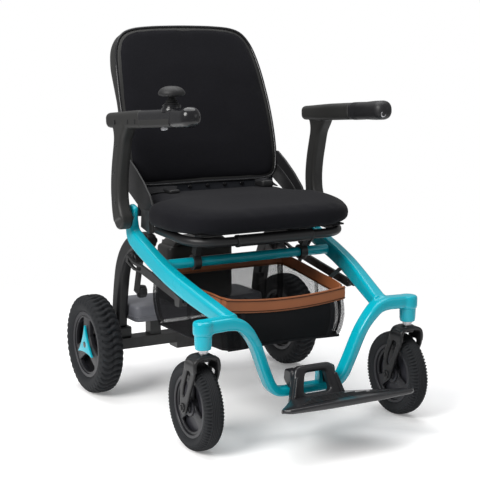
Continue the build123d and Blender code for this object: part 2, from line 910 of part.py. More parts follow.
def rim(x, y, z, radius, width, bore, spokes):
    """Spoked rim with a flange ring and a hub."""
    flange = 0.14 * radius
    hub = bore + 13
    with BuildPart() as wheel:
        with BuildSketch(Plane.YZ.offset(x - width / 2)):
            with Locations((y, z)):
                Circle(radius)
                Circle(radius - flange, mode=Mode.SUBTRACT)
        extrude(amount=width)
        with BuildSketch(Plane.YZ.offset(x - width / 2)):
            with Locations((y, z)):
                Circle(hub)
        extrude(amount=width)
        with BuildSketch(Plane.YZ.offset(x - width / 3)):
            with Locations((y, z)):
                with PolarLocations(0.5 * radius, spokes, start_angle=90):
                    Rectangle(0.94 * radius, 0.24 * radius)
        extrude(amount=2 * width / 3)
        with BuildSketch(Plane.YZ.offset(x - width)):
            with Locations((y, z)):
                Circle(bore)
        extrude(amount=2 * width, mode=Mode.SUBTRACT)
    return wheel.part


def hub_star():
    """Three-armed trim on the outer face of a drive rim."""
    face = DRIVE_X + DRIVE_RIM_W / 2
    with BuildPart() as star:
        with BuildSketch(Plane.YZ.offset(face)):
            with Locations((AXLE_Y, DRIVE_R)):
                Circle(15)
                with PolarLocations(16, SPOKES, start_angle=90):
                    Rectangle(32, 12)
        extrude(amount=5)
    return star.part


FORK_GAP = CASTER_W / 2 + 3.0
FORK_T = 6.0
CROWN_Z = 2 * CASTER_R + 6.0


def caster_fork():
    """Fork with a crown under the barrel and two plates down to the axle."""
    axle_y = STEM_Y + CASTER_TRAIL
    plate = [
        (STEM_Y - 20, CROWN_Z),
        (STEM_Y + 26, CROWN_Z),
        (STEM_Y + 26, CROWN_Z - 26),
        (axle_y + 13, CASTER_R + 20),
        (axle_y + 13, CASTER_R - 8),
        (axle_y + 6, CASTER_R - 14),
        (axle_y - 8, CASTER_R - 14),
        (axle_y - 14, CASTER_R - 4),
        (STEM_Y - 20, CROWN_Z - 26),
    ]
    with BuildPart() as fork:
        with Locations((STEM_X, STEM_Y + 3, CROWN_Z)):
            Box(2 * (FORK_GAP + FORK_T), 46, 12, align=(Align.CENTER, Align.CENTER, Align.MIN))
        add(side_slab(plate, STEM_X - FORK_GAP - FORK_T, STEM_X - FORK_GAP))
        add(side_slab(plate, STEM_X + FORK_GAP, STEM_X + FORK_GAP + FORK_T))
        with BuildSketch(Plane.YZ.offset(STEM_X - 2 * FORK_GAP)):
            with Locations(Location((STEM_Y + 19, CASTER_R + 46), -72)):
                SlotOverall(54, 15)
        extrude(amount=4 * FORK_GAP, mode=Mode.SUBTRACT)
    return fork.part


def caster_stem():
    """Steel stem between a fork and its barrel."""
    with BuildPart() as stem:
        with BuildSketch(Plane.XY.offset(CROWN_Z + 12)):
            with Locations((STEM_X, STEM_Y)):
                Circle(STEM_R)
        extrude(amount=ARM_Z - 4 - CROWN_Z - 12)
    return stem.part


def caster_axle():
    """Axle bolt of a caster wheel, through both fork plates."""
    return rod_x(
        STEM_X - FORK_GAP, STEM_X + FORK_GAP, STEM_Y + CASTER_TRAIL, CASTER_R, 6
    )


# ================================================================ backrest
def back_outline():
    """Half outline of the backrest in its own plane, from the foot up."""
    return [
        (0, 0),
        (BACK_HALF - 24, 0),
        (BACK_HALF - 8, 12),
        (BACK_HALF, 66),
        (BACK_HALF, 180),
        (BACK_HALF - 6, 270),
        (BACK_HALF - 14, 330),
        (BACK_HALF - 32, BACK_LEN - 20),
        (BACK_HALF - 72, BACK_LEN),
        (0, BACK_LEN + 7),
    ]


def back_pad():
    """Backrest upholstery."""
    with BuildPart() as pad:
        with BuildSketch(BACK_PLANE):
            with BuildLine():
                Polyline(*back_outline(), close=True)
            make_face()
            mirror(about=Plane.YZ)
        extrude(amount=-BACK_T)
    return pad.part


def back_frame():
    """Back panel behind the upholstery, with a deeper head at its top."""
    with BuildPart() as shell:
        with BuildSketch(BACK_PLANE.offset(-BACK_T)):
            with BuildLine():
                Polyline(*back_outline(), close=True)
            make_face()
            mirror(about=Plane.YZ)
        extrude(amount=-8)
    return shell.part


def hinge_plate():
    """Curved side plate from the backrest pivot up to the back."""
    up = BACK_FOOT
    points = [BACK_PIVOT, (120, SEAT_Z + 64), (165, SEAT_Z + 99), (up[0] + 34, up[1] + 52)]
    x = PLATE_X
    plate = strip(points, HINGE_W, x, x + PLATE_T)
    with BuildPart() as piece:
        add(plate)
        with BuildSketch(Plane.YZ.offset(x)):
            with Locations(BACK_PIVOT):
                Circle(11)
        extrude(amount=PLATE_T)
    return bored(piece.part, x - 1, x + PLATE_T + 1, *BACK_PIVOT, PIN_R + RUN)


def back_pin():
    """Pin of the backrest pivot, fixed in the seat bracket."""
    return rod_x(PLATE_X - 3, BRACKET_IN, *BACK_PIVOT, PIN_R)


# ================================================================ armrests
ARM_IN = TUBE_OUT + 3 + SIDE
PAD_Z = SEAT_Z + 258.0
PAD_REAR = (ARM_IN + 24.0, 203.0, PAD_Z)
ARM_DIR = Vector(
    -sin(radians(ARM_TOE)), -cos(radians(ARM_TOE)) * cos(radians(ARM_RISE)), sin(radians(ARM_RISE))
)


def arm_plane(distance):
    """Plane across an armrest at a distance from its rear end."""
    start = Vector(*PAD_REAR) + ARM_DIR * distance
    return Plane(origin=start, x_dir=(cos(radians(ARM_TOE)), -sin(radians(ARM_TOE)), 0), z_dir=ARM_DIR)


def arm_bar(start, length, width, height, corner):
    """A stretch of armrest with a rounded section."""
    with BuildPart() as bar:
        with BuildSketch(arm_plane(start)):
            RectangleRounded(width, height, corner)
        extrude(amount=length)
    return bar.part


POD_START = 174.0
CAP_START = 248.0
NOSE = 44.0


def arm_post():
    """Curved post from the arm pivot up to the pad."""
    y, z = ARM_PIVOT
    under = PAD_Z - ARM_PAD_H / 2 + 4
    points = [(y, z), (y + 17, z + 60), (y + 11, z + 130), (y, z + 180), (y - 4, under)]
    post = strip(points, POST_W, ARM_IN, ARM_IN + POST_T)
    with BuildPart() as piece:
        add(post)
        with BuildSketch(Plane.YZ.offset(ARM_IN)):
            with Locations(ARM_PIVOT):
                Circle(PIVOT_CAP_R)
        extrude(amount=POST_T)
        add(arm_bar(-30, ARM_REACH, ARM_PAD_W + 20, ARM_PAD_H, 12), mode=Mode.SUBTRACT)
    return bored(piece.part, ARM_IN - 1, ARM_IN + 15, *ARM_PIVOT, PIN_R + RUN)


def arm_pin():
    """Pivot pin of an armrest, fixed in the side tube."""
    return rod_x(TUBE_OUT, ARM_IN + 14, *ARM_PIVOT, PIN_R)


def arm_pivot_cap():
    """Round cap over the outer end of an arm pivot."""
    return rod_x(ARM_IN + POST_T, ARM_IN + POST_T + 3, *ARM_PIVOT, PIVOT_CAP_R - 8)


def nose(start):
    """Rounded end of an armrest."""
    with BuildPart() as bulb:
        with BuildSketch(arm_plane(start)):
            RectangleRounded(ARM_PAD_W, ARM_PAD_H, 16)
        extrude(amount=ARM_REACH - start)
        fillet(bulb.faces().sort_by(Axis.Y)[0].edges(), 14)
    return bulb.part


def end_cap():
    """Front end of the left armrest, with the charging socket in its face."""
    with BuildPart() as cap:
        add(nose(CAP_START))
        with BuildSketch(arm_plane(ARM_REACH - SOCKET_DEPTH)):
            Circle(SOCKET_R)
        extrude(amount=2 * SOCKET_DEPTH, mode=Mode.SUBTRACT)
    return cap.part


STICK_AT = 290.0
stick_centre = Vector(*PAD_REAR) + ARM_DIR * STICK_AT
STICK_PLANE = Plane(origin=stick_centre, x_dir=(1, 0, 0), z_dir=(0, 0, 1))
STICK_LOW = ARM_PAD_H / 2 - 3.0
STICK_PIVOT = STICK_LOW + 8.0
BUTTON_PLANE = Plane(
    origin=Vector(*PAD_REAR) + ARM_DIR * 256.0 - Vector(0, 0, ARM_PAD_H / 2 - 7),
    x_dir=(1, 0, 0),
    z_dir=(0, 0, 1),
)


def stick_turned(low, height, radius, hole=0.0):
    """A round piece about the joystick's axis, above the pod's middle."""
    with BuildPart() as ring:
        with BuildSketch(STICK_PLANE.offset(low)):
            Circle(radius)
            if hole:
                Circle(hole, mode=Mode.SUBTRACT)
        extrude(amount=height)
    return ring.part


def control_pod():
    """Pod of the right armrest with the seat of the joystick and a button hole."""
    with BuildPart() as pod:
        add(nose(POD_START))
        with BuildSketch(STICK_PLANE.offset(STICK_LOW)):
            Circle(STICK_SEAT_R)
        extrude(amount=ARM_PAD_H, mode=Mode.SUBTRACT)
        with BuildSketch(BUTTON_PLANE):
            Circle(BUTTON_R + SIDE)
        extrude(amount=-ARM_PAD_H, mode=Mode.SUBTRACT)
    return pod.part


def stick_collar():
    """Collar of the joystick, open round its pivot."""
    return stick_turned(STICK_LOW, 12, STICK_SEAT_R, RING_R + 3 * SIDE)


def stick_gimbal():
    """Inner ring of the joystick's two-way pivot."""
    return stick_turned(STICK_PIVOT - 3, 6, RING_R, BALL_R + SIDE)


def stick_knob():
    """Mushroom knob of the joystick on its stalk."""
    with BuildPart() as knob:
        with Locations(stick_centre + Vector(0, 0, STICK_PIVOT)):
            Sphere(BALL_R)
        with BuildSketch(STICK_PLANE.offset(STICK_PIVOT)):
            Circle(5.5)
        extrude(amount=STALK_L + 2)
        with BuildSketch(STICK_PLANE.offset(STICK_PIVOT + STALK_L)):
            Circle(STICK_R)
        extrude(amount=KNOB_H)
        fillet(knob.faces().sort_by(Axis.Z)[-1].edges(), 13)
    return knob.part


def pod_button():
    """Silver button in the underside of the pod."""
    with BuildPart() as button:
        with BuildSketch(BUTTON_PLANE.offset(-BUTTON_TRAVEL - SIDE)):
            Circle(BUTTON_R)
        extrude(amount=-6)
    return button.part


# ================================================================ footrest
def foot_plate():
    """Wing-shaped footplate, deep in its middle and shallow at its ends."""
    rear_y = PLATE_REAR_Y - FOOT_T * sin(radians(FOOT_TILT))
    tilt = Plane(
        origin=(0, rear_y, FOOT_BAR_Z - FOOT_DROP),
        x_dir=(1, 0, 0),
        z_dir=(0, sin(radians(FOOT_TILT)), cos(radians(FOOT_TILT))),
    )
    reach = (rear_y - FRONT) / cos(radians(FOOT_TILT))
    with BuildPart() as plate:
        with BuildSketch(tilt):
            with BuildLine():
                Polyline(
                    (0, 0),
                    (ARCH_HALF + 2, 0),
                    (ARCH_HALF + 8, -26),
                    (ARCH_HALF + 40, -60),
                    (FOOT_HALF - 18, -118),
                    (FOOT_HALF, -138),
                    (FOOT_HALF, 14 - reach),
                    (FOOT_HALF - 14, -reach),
                    (0, -reach),
                    close=True,
                )
            make_face()
            mirror(about=Plane.YZ)
        extrude(amount=FOOT_T)
    return plate.part


FOOT_EYE_X = ARCH_HALF - ARCH_LEG_W - SIDE


def arch_leg():
    """Leg of the arch: in front of the foot bar, and over it at the hinge."""
    y, z = FOOT_PIVOT
    bar_front = PLATE_REAR_Y
    top = FOOT_BAR_Z - FOOT_DROP + FOOT_T / cos(radians(FOOT_TILT)) + SIDE / 3
    outline = [
        (bar_front - 18, top + 18 * tan(radians(FOOT_TILT))),
        (bar_front - 16, z + 12),
        (bar_front - 4, z + 22),
        (y + 6, z + 20),
        (y + 12, z + 8),
        (y + 10, z - 9),
        (bar_front, z - 14),
        (bar_front, top),
    ]
    leg = side_slab(outline, ARCH_HALF - ARCH_LEG_W, ARCH_HALF)
    return bored(leg, ARCH_HALF - ARCH_LEG_W - 1, ARCH_HALF - 6, y, z, PIN_R + RUN)


def foot_arch():
    """Arch that hinges the footplate on the foot bar: two legs and a bridge."""
    y, z = FOOT_PIVOT
    leg = arch_leg()
    with BuildPart() as arch:
        add(leg)
        add(mirror(leg, about=Plane.YZ, mode=Mode.PRIVATE))
        with Locations((0, y - 12, z + 16)):
            Box(2 * (ARCH_HALF - ARCH_LEG_W) + 2, 26, 9)
    return arch.part


def foot_lugs():
    """Pair of lugs on the foot bar, each with its hinge pin."""
    y, z = FOOT_PIVOT
    low = FOOT_BAR_Z + FOOT_BAR_H / 2
    outline = [(y - 9, low), (y - 8, z + 6), (y, z + 9), (y + 8, z + 6), (y + 10, low)]
    with BuildPart() as lugs:
        add(side_slab(outline, FOOT_EYE_X - 9, FOOT_EYE_X))
        add(rod_x(FOOT_EYE_X, ARCH_HALF - 8, y, z, PIN_R))
        mirror(about=Plane.YZ)
    return lugs.part


# ================================================================ write
def pair(piece):
    """A left piece and its mirror image as two solids of one node."""
    return Compound(children=[piece, mirror(piece, about=Plane.YZ)])


def group(*pieces):
    """Several solids of one node."""
    return Compound(children=list(pieces))


def both(*pieces):
    """Several left pieces and their mirror images as one node."""
    return Compound(children=[*pieces, *[mirror(p, about=Plane.YZ) for p in pieces]])


save(pair(side_tube()), "side_tubes")
save(pair(caster_arm()), "caster_arms")
save(pair(caster_barrel()), "caster_barrels")
save(pair(hoop_leg()), "hoop_legs")
save(foot_bar(), "foot_bar")
save(foot_lugs(), "foot_lugs")
save(rod_x(-TUBE_IN, TUBE_IN, *CROSS, CROSS_R), "cross_tube")
save(both(cross_clamp(), seat_strut()), "seat_struts")
save(pair(link_tab()), "link_tabs")
save(both(fold_pin(), link_pin_front(), back_pin(), arm_pin()), "pivot_pins")
save(seat_frame(), "seat_frame")
save(front_sleeve(), "front_sleeve")
save(pair(seat_bracket()), "seat_brackets")
save(seat_cushion(), "seat_cushion")
save(seat_panel(), "seat_panel")
save(rear_strip(), "rear_strip")
save(group(belt_half(1), belt_half(-1)), "belt_webbing")
save(buckle(), "belt_buckle")
save(tongue(), "belt_tongue")
save(buckle_button(), "buckle_button")
save(basket_bag(), "basket_bag")
save(basket_rim(), "basket_rim")
save(both(*[basket_hook(y) for y in HOOK_YS]), "basket_hooks")
save_pair(seat_lever(), "seat_lever")

save_pair(rear_leg(), "rear_leg")
save(both(leg_clamp(), lock_bar(), link_pin_rear()), "leg_fittings")
save(group(axle_beam(), cover_posts()), "axle_beam")
save(base_cover(), "base_cover")
save_pair(lock_knob(), "lock_knob")
save(pair(motor()), "drive_motors")
save(group(battery_case(), battery_handle()), "battery_pack")
save_pair(fold_link(), "fold_link")

save_pair(tyre(DRIVE_X, AXLE_Y, DRIVE_R, DRIVE_R, DRIVE_RIM_R, DRIVE_W), "drive_tyre")
drive_rim = rim(DRIVE_X, AXLE_Y, DRIVE_R, DRIVE_RIM_R, DRIVE_RIM_W, AXLE_R, SPOKES)
save_pair(group(drive_rim, hub_star()), "drive_rim")
caster_y = STEM_Y + CASTER_TRAIL
save_pair(group(caster_fork(), caster_stem(), caster_axle()), "caster_fork")
save_pair(tyre(STEM_X, caster_y, CASTER_R, CASTER_R, CASTER_RIM_R, CASTER_W), "caster_tyre")
save_pair(
    rim(STEM_X, caster_y, CASTER_R, CASTER_RIM_R, CASTER_RIM_W, PIN_R + RUN, CASTER_SPOKES),
    "caster_rim",
)

save(back_pad(), "back_pad")
save(back_frame(), "back_frame")
save(pair(hinge_plate()), "hinge_plates")

save_pair(group(arm_post(), arm_pivot_cap()), "arm_post")
save(arm_bar(0, CAP_START, ARM_PAD_W, ARM_PAD_H, 14), "arm_pad_left")
save(end_cap(), "arm_end_cap")
save(mirror(arm_bar(0, POD_START, ARM_PAD_W, ARM_PAD_H, 14), about=Plane.YZ), "arm_pad_right")
save(mirror(group(control_pod(), stick_collar()), about=Plane.YZ), "control_pod")
save(mirror(stick_gimbal(), about=Plane.YZ), "stick_gimbal")
save(mirror(stick_knob(), about=Plane.YZ), "stick_knob")
save(mirror(pod_button(), about=Plane.YZ), "pod_button")

save(foot_plate(), "foot_plate")
save(foot_arch(), "foot_arch")
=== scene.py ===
"""Folding power wheelchair: finishes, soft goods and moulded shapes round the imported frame.

Metres throughout, in the frame of the CAD model: +Z up, the chair faces -Y, +X is the sitter's left.
"""

import math

import bpy
import numpy as np
from mathutils import Matrix, Vector


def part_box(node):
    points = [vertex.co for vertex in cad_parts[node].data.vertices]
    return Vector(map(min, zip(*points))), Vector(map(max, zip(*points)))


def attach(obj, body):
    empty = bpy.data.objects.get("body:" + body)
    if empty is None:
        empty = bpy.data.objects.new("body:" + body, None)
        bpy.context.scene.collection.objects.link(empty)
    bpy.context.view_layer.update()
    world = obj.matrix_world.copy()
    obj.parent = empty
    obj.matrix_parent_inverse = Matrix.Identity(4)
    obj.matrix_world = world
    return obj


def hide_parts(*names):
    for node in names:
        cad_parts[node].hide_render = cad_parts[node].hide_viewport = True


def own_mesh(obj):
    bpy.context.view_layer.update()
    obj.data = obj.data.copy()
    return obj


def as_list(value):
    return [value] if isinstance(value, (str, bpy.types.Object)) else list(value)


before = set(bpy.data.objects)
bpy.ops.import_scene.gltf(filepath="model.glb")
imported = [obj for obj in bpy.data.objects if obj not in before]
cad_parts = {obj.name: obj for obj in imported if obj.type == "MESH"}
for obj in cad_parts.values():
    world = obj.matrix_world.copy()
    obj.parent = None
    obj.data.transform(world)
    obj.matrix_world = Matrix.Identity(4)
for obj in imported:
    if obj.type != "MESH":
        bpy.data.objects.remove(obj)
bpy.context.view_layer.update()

scene = bpy.context.scene
X = Vector((1, 0, 0))
Y = Vector((0, 1, 0))
Z = Vector((0, 0, 1))
SIDES = (("left", 1), ("right", -1))


# ------------------------------------------------------------------ places from the CAD
def middle(node):
    """Centre of a CAD node's box."""
    low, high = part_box(node)
    return (low + high) / 2


def mirrored(points, side):
    """Points given for the left side, on the left (1) or the right (-1)."""
    return [(side * x, y, z) for x, y, z in points]


# ------------------------------------------------------------------ shader building blocks
def node_group(name, inputs, outputs):
    """An empty node group with named sockets, and its input and output nodes."""
    tree = bpy.data.node_groups.new(name, "ShaderNodeTree")
    for socket, value in inputs.items():
        made = tree.interface.new_socket(name=socket, in_out="INPUT", socket_type="NodeSocketFloat")
        made.default_value = value
    for socket in outputs:
        tree.interface.new_socket(name=socket, in_out="OUTPUT", socket_type="NodeSocketFloat")
    return tree, tree.nodes.new("NodeGroupInput"), tree.nodes.new("NodeGroupOutput")


def add_node(tree, kind, inputs=None, **settings):
    """A node with its settings, and its sockets set to values or linked to other sockets."""
    made = tree.nodes.new(kind)
    for key, value in settings.items():
        setattr(made, key, value)
    for socket, value in (inputs or {}).items():
        if isinstance(value, bpy.types.NodeSocket):
            tree.links.new(value, made.inputs[socket])
        else:
            made.inputs[socket].default_value = value
    return made


def maths(tree, operation, a, b=0.0):
    """One arithmetic step between two sockets or numbers."""
    return add_node(tree, "ShaderNodeMath", {0: a, 1: b}, operation=operation).outputs[0]


def place_in_piece(tree):
    """The point on the piece, in its own coordinates."""
    return tree.nodes.new("ShaderNodeTexCoord").outputs["Object"]


def grain_group():
    """Fine moulded or sprayed grain: a height, and a slow tone that varies over the piece."""
    tree, given, out = node_group("fine_grain", {"Scale": 900.0, "Drift": 9.0}, ["Height", "Tone"])
    place = place_in_piece(tree)
    fine = add_node(tree, "ShaderNodeTexNoise", {"Vector": place, "Scale": given.outputs["Scale"], "Detail": 2.0})
    slow = add_node(tree, "ShaderNodeTexNoise", {"Vector": place, "Scale": given.outputs["Drift"], "Detail": 3.0})
    tree.links.new(fine.outputs[0], out.inputs["Height"])
    tree.links.new(slow.outputs[0], out.inputs["Tone"])
    return tree


def edge_scuff_and_highlight_group():
    """Mask of convex edges broken up by noise: scuffed edges on most finishes, a painted highlight along the edges of
    the teal paint.
    """
    tree, given, out = node_group("edge_scuff_and_highlight", {"Reach": 0.54, "Breakup": 60.0}, ["Mask"])
    shape = tree.nodes.new("ShaderNodeNewGeometry")
    place = place_in_piece(tree)
    patches = add_node(tree, "ShaderNodeTexNoise", {"Vector": place, "Scale": given.outputs["Breakup"], "Detail": 4.0})
    over = maths(tree, "SUBTRACT", shape.outputs["Pointiness"], given.outputs["Reach"])
    sharp = maths(tree, "MULTIPLY", over, 18.0)
    broken = maths(tree, "MULTIPLY", sharp, patches.outputs[0])
    limited = add_node(tree, "ShaderNodeClamp", {"Value": broken})
    tree.links.new(limited.outputs[0], out.inputs["Mask"])
    return tree


def knit_group():
    """Fine knit: crossed diagonal ribs, with a height and a tone."""
    tree, given, out = node_group("fine_knit", {"Scale": 520.0, "Fuzz": 260.0}, ["Height", "Tone"])
    place = place_in_piece(tree)
    axes = add_node(tree, "ShaderNodeSeparateXYZ", {0: place})
    across = maths(tree, "ADD", axes.outputs[0], axes.outputs[2])
    along = maths(tree, "ADD", axes.outputs[1], axes.outputs[2])
    one = maths(tree, "MULTIPLY", maths(tree, "ADD", across, along), given.outputs["Scale"])
    two = maths(tree, "MULTIPLY", maths(tree, "SUBTRACT", across, along), given.outputs["Scale"])
    ribs = maths(tree, "MULTIPLY", maths(tree, "SINE", one), maths(tree, "SINE", two))
    fuzz = add_node(tree, "ShaderNodeTexNoise", {"Vector": place, "Scale": given.outputs["Fuzz"], "Detail": 3.0})
    height = maths(tree, "ADD", maths(tree, "MULTIPLY", ribs, 0.35), fuzz.outputs[0])
    slow = add_node(tree, "ShaderNodeTexNoise", {"Vector": place, "Scale": 7.0, "Detail": 4.0})
    tree.links.new(height, out.inputs["Height"])
    tree.links.new(slow.outputs[0], out.inputs["Tone"])
    return tree


def net_group():
    """Open net: threads on two diagonals, with the share of the surface that is thread."""
    tree, given, out = node_group("open_net", {"Scale": 900.0, "Thread": 0.4}, ["Cover", "Height"])
    axes = add_node(tree, "ShaderNodeSeparateXYZ", {0: place_in_piece(tree)})
    flat = maths(tree, "ADD", axes.outputs[0], axes.outputs[1])
    one = maths(tree, "MULTIPLY", maths(tree, "ADD", flat, axes.outputs[2]), given.outputs["Scale"])
    two = maths(tree, "MULTIPLY", maths(tree, "SUBTRACT", flat, axes.outputs[2]), given.outputs["Scale"])
    first = maths(tree, "ABSOLUTE", maths(tree, "SINE", one))
    second = maths(tree, "ABSOLUTE", maths(tree, "SINE", two))
    gap = maths(tree, "MINIMUM", first, second)
    cover = maths(tree, "LESS_THAN", gap, given.outputs["Thread"])
    tree.links.new(cover, out.inputs["Cover"])
    tree.links.new(maths(tree, "SUBTRACT", 1.0, gap), out.inputs["Height"])
    return tree


def hide_group():
    """Leather: small cells with creases between them, and a cloudy tone."""
    tree, given, out = node_group("leather_grain", {"Scale": 420.0}, ["Height", "Tone"])
    place = place_in_piece(tree)
    cells = add_node(
        tree,
        "ShaderNodeTexVoronoi",
        {"Vector": place, "Scale": given.outputs["Scale"]},
        feature="DISTANCE_TO_EDGE",
    )
    clouds = add_node(tree, "ShaderNodeTexNoise", {"Vector": place, "Scale": 14.0, "Detail": 6.0})
    tree.links.new(cells.outputs[0], out.inputs["Height"])
    tree.links.new(clouds.outputs[0], out.inputs["Tone"])
    return tree


GRAIN = grain_group()
EDGE_SCUFF_AND_HIGHLIGHT = edge_scuff_and_highlight_group()
KNIT = knit_group()
NET = net_group()
HIDE = hide_group()


def use_group(tree, group, **values):
    """A node group placed in a material with its own values."""
    made = tree.nodes.new("ShaderNodeGroup")
    made.node_tree = group
    for socket, value in values.items():
        made.inputs[socket].default_value = value
    return made


def blend_colour(tree, mask, dark, light):
    """Colour that goes from dark to light with a mask."""
    ramp = tree.nodes.new("ShaderNodeMix")
    ramp.data_type = "RGBA"
    tree.links.new(mask, ramp.inputs["Factor"])
    for socket, value in (("A", dark), ("B", light)):
        place = [s for s in ramp.inputs if s.name == socket and s.type == "RGBA"][0]
        if isinstance(value, bpy.types.NodeSocket):
            tree.links.new(value, place)
        else:
            place.default_value = (*value, 1)
    return [s for s in ramp.outputs if s.type == "RGBA"][0]


def spread(tree, value, low, high):
    """A mask stretched between two numbers."""
    return add_node(tree, "ShaderNodeMapRange", {"Value": value, "To Min": low, "To Max": high}).outputs[0]


def start_material(name):
    """A node material with its Principled shader."""
    material = bpy.data.materials.new(name)
    material.use_nodes = True
    return material, material.node_tree, material.node_tree.nodes["Principled BSDF"]


def add_bump(tree, shader, height, distance, strength=1.0):
    """Relief from a height socket, in metres."""
    bump = add_node(tree, "ShaderNodeBump", {"Height": height, "Distance": distance, "Strength": strength})
    tree.links.new(bump.outputs[0], shader.inputs["Normal"])


def hard_finish(name, dark, light, scuff_and_highlight_colour, rough, grain=900.0, relief=0.00004, scuff_and_highlight_amount=0.5, coat=0.0, metal=0.0, shine=0.35):
    """Paint, metal or moulded plastic: drifting tone, grain, and an edge colour that is scuffing on the other finishes
    and a painted highlight on the teal.
    """
    material, tree, shader = start_material(name)
    texture = use_group(tree, GRAIN, Scale=grain)
    edges = use_group(tree, EDGE_SCUFF_AND_HIGHLIGHT)
    tone = blend_colour(tree, texture.outputs["Tone"], dark, light)
    # Edge colour over convex edges: scuffing on the other finishes, a painted highlight on the teal.
    mask = maths(tree, "MULTIPLY", edges.outputs["Mask"], scuff_and_highlight_amount)
    tree.links.new(blend_colour(tree, mask, tone, scuff_and_highlight_colour), shader.inputs["Base Color"])
    tree.links.new(spread(tree, texture.outputs["Tone"], rough - 0.06, rough + 0.06), shader.inputs["Roughness"])
    shader.inputs["Metallic"].default_value = metal
    shader.inputs["Specular IOR Level"].default_value = shine
    shader.inputs["Coat Weight"].default_value = coat
    shader.inputs["Coat Roughness"].default_value = 0.08
    add_bump(tree, shader, texture.outputs["Height"], relief)
    return material


def cloth_finish(name, dark, light, scale, relief, rough=0.92, sheen=0.04):
    """Knitted or woven upholstery."""
    material, tree, shader = start_material(name)
    texture = use_group(tree, KNIT, Scale=scale)
    tree.links.new(blend_colour(tree, texture.outputs["Tone"], dark, light), shader.inputs["Base Color"])
    tree.links.new(spread(tree, texture.outputs["Height"], rough - 0.08, rough + 0.05), shader.inputs["Roughness"])
    shader.inputs["Specular IOR Level"].default_value = 0.12
    shader.inputs["Sheen Weight"].default_value = sheen
    shader.inputs["Sheen Roughness"].default_value = 0.4
    add_bump(tree, shader, texture.outputs["Height"], relief)
    return material


def net_finish(name, colour, thread):
    """Net that shows what is behind it between its threads."""
    material, tree, shader = start_material(name)
    texture = use_group(tree, NET, Thread=thread)
    tone = use_group(tree, GRAIN, Scale=200.0)
    bright = tuple(1.6 * c for c in colour)
    tree.links.new(blend_colour(tree, tone.outputs["Tone"], colour, bright), shader.inputs["Base Color"])
    tree.links.new(texture.outputs["Cover"], shader.inputs["Alpha"])
    shader.inputs["Roughness"].default_value = 0.8
    shader.inputs["Specular IOR Level"].default_value = 0.15
    add_bump(tree, shader, texture.outputs["Height"], 0.0002)
    return material


def leather_finish(name, dark, light):
    """Smooth dyed leather."""
    material, tree, shader = start_material(name)
    texture = use_group(tree, HIDE)
    tree.links.new(blend_colour(tree, texture.outputs["Tone"], dark, light), shader.inputs["Base Color"])
    tree.links.new(spread(tree, texture.outputs["Tone"], 0.42, 0.6), shader.inputs["Roughness"])
    add_bump(tree, shader, texture.outputs["Height"], 0.00012)
    return material


# The teal's edge colour is the lit teal: a painted highlight along its convex edges.
TEAL = hard_finish(
    "teal_paint", (0.000, 0.345, 0.440), (0.001, 0.385, 0.485), (0.03, 0.50, 0.60), 0.26, 1400.0, 0.000004, 0.15, 0.25
)
BLACK_PAINT = hard_finish(
    "black_powder_coat", (0.008, 0.008, 0.009), (0.013, 0.013, 0.014), (0.05, 0.05, 0.05), 0.40, 1500.0, 0.00003
)
PLASTIC = hard_finish(
    "black_moulded_plastic", (0.010, 0.010, 0.011), (0.015, 0.015, 0.016), (0.045, 0.045, 0.05), 0.44, 1100.0, 0.00005
)
GLOSS = hard_finish(
    "black_gloss_plastic", (0.006, 0.006, 0.007), (0.009, 0.009, 0.011), (0.03, 0.03, 0.03), 0.22, 1800.0, 0.00001, 0.3, 0.2
)
ARM_SKIN = hard_finish(
    "armrest_skin", (0.015, 0.015, 0.015), (0.022, 0.022, 0.021), (0.05, 0.05, 0.048), 0.48, 900.0, 0.00006
)
PLATE_SKIN = hard_finish(
    "footplate_plastic", (0.012, 0.012, 0.014), (0.018, 0.018, 0.020), (0.05, 0.05, 0.055), 0.30, 1100.0, 0.00003, coat=0.2
)
GREY_COVER = hard_finish(
    "grey_cover_plastic", (0.105, 0.108, 0.125), (0.135, 0.138, 0.155), (0.2, 0.2, 0.22), 0.42, 1200.0, 0.00003
)
RUBBER = hard_finish(
    "tyre_rubber", (0.010, 0.011, 0.013), (0.018, 0.019, 0.021), (0.035, 0.035, 0.035), 0.72, 700.0, 0.00012, 0.4, shine=0.2
)
RIM = hard_finish("rim_nylon", (0.010, 0.010, 0.012), (0.016, 0.016, 0.019), (0.04, 0.04, 0.05), 0.42, 1000.0, 0.00004)
GRIP = hard_finish(
    "grip_rubber", (0.010, 0.010, 0.011), (0.016, 0.016, 0.017), (0.03, 0.03, 0.03), 0.55, 500.0, 0.00015
)
STEEL = hard_finish(
    "plated_steel", (0.50, 0.50, 0.52), (0.62, 0.62, 0.64), (0.8, 0.8, 0.8), 0.28, 1500.0, 0.00002, 0.3, 0.0, 1.0, 0.5
)
KNIT_CLOTH = cloth_finish("seat_knit", (0.0045, 0.0045, 0.0060), (0.0080, 0.0080, 0.0105), 900.0, 0.0003)
PANEL_CLOTH = cloth_finish("basket_panel_cloth", (0.006, 0.006, 0.007), (0.011, 0.011, 0.012), 1400.0, 0.0003, 0.85)
BAND_CLOTH = cloth_finish("rear_band_cloth", (0.020, 0.022, 0.027), (0.030, 0.032, 0.038), 1400.0, 0.0003, 0.8)
STRAP_CLOTH = cloth_finish("strap_webbing", (0.008, 0.008, 0.009), (0.016, 0.016, 0.018), 1600.0, 0.0006, 0.7)
NET_CLOTH = net_finish("basket_net", (0.008, 0.008, 0.009), 0.34)
TAN = leather_finish("tan_leather", (0.235, 0.068, 0.020), (0.360, 0.115, 0.038))


# ------------------------------------------------------------------ mesh building blocks
def finish_mesh(mesh, angle=40.0):
    """Smooth shading that keeps edges sharper than an angle."""
    mesh.shade_smooth()
    mesh.set_sharp_from_angle(angle=math.radians(angle))


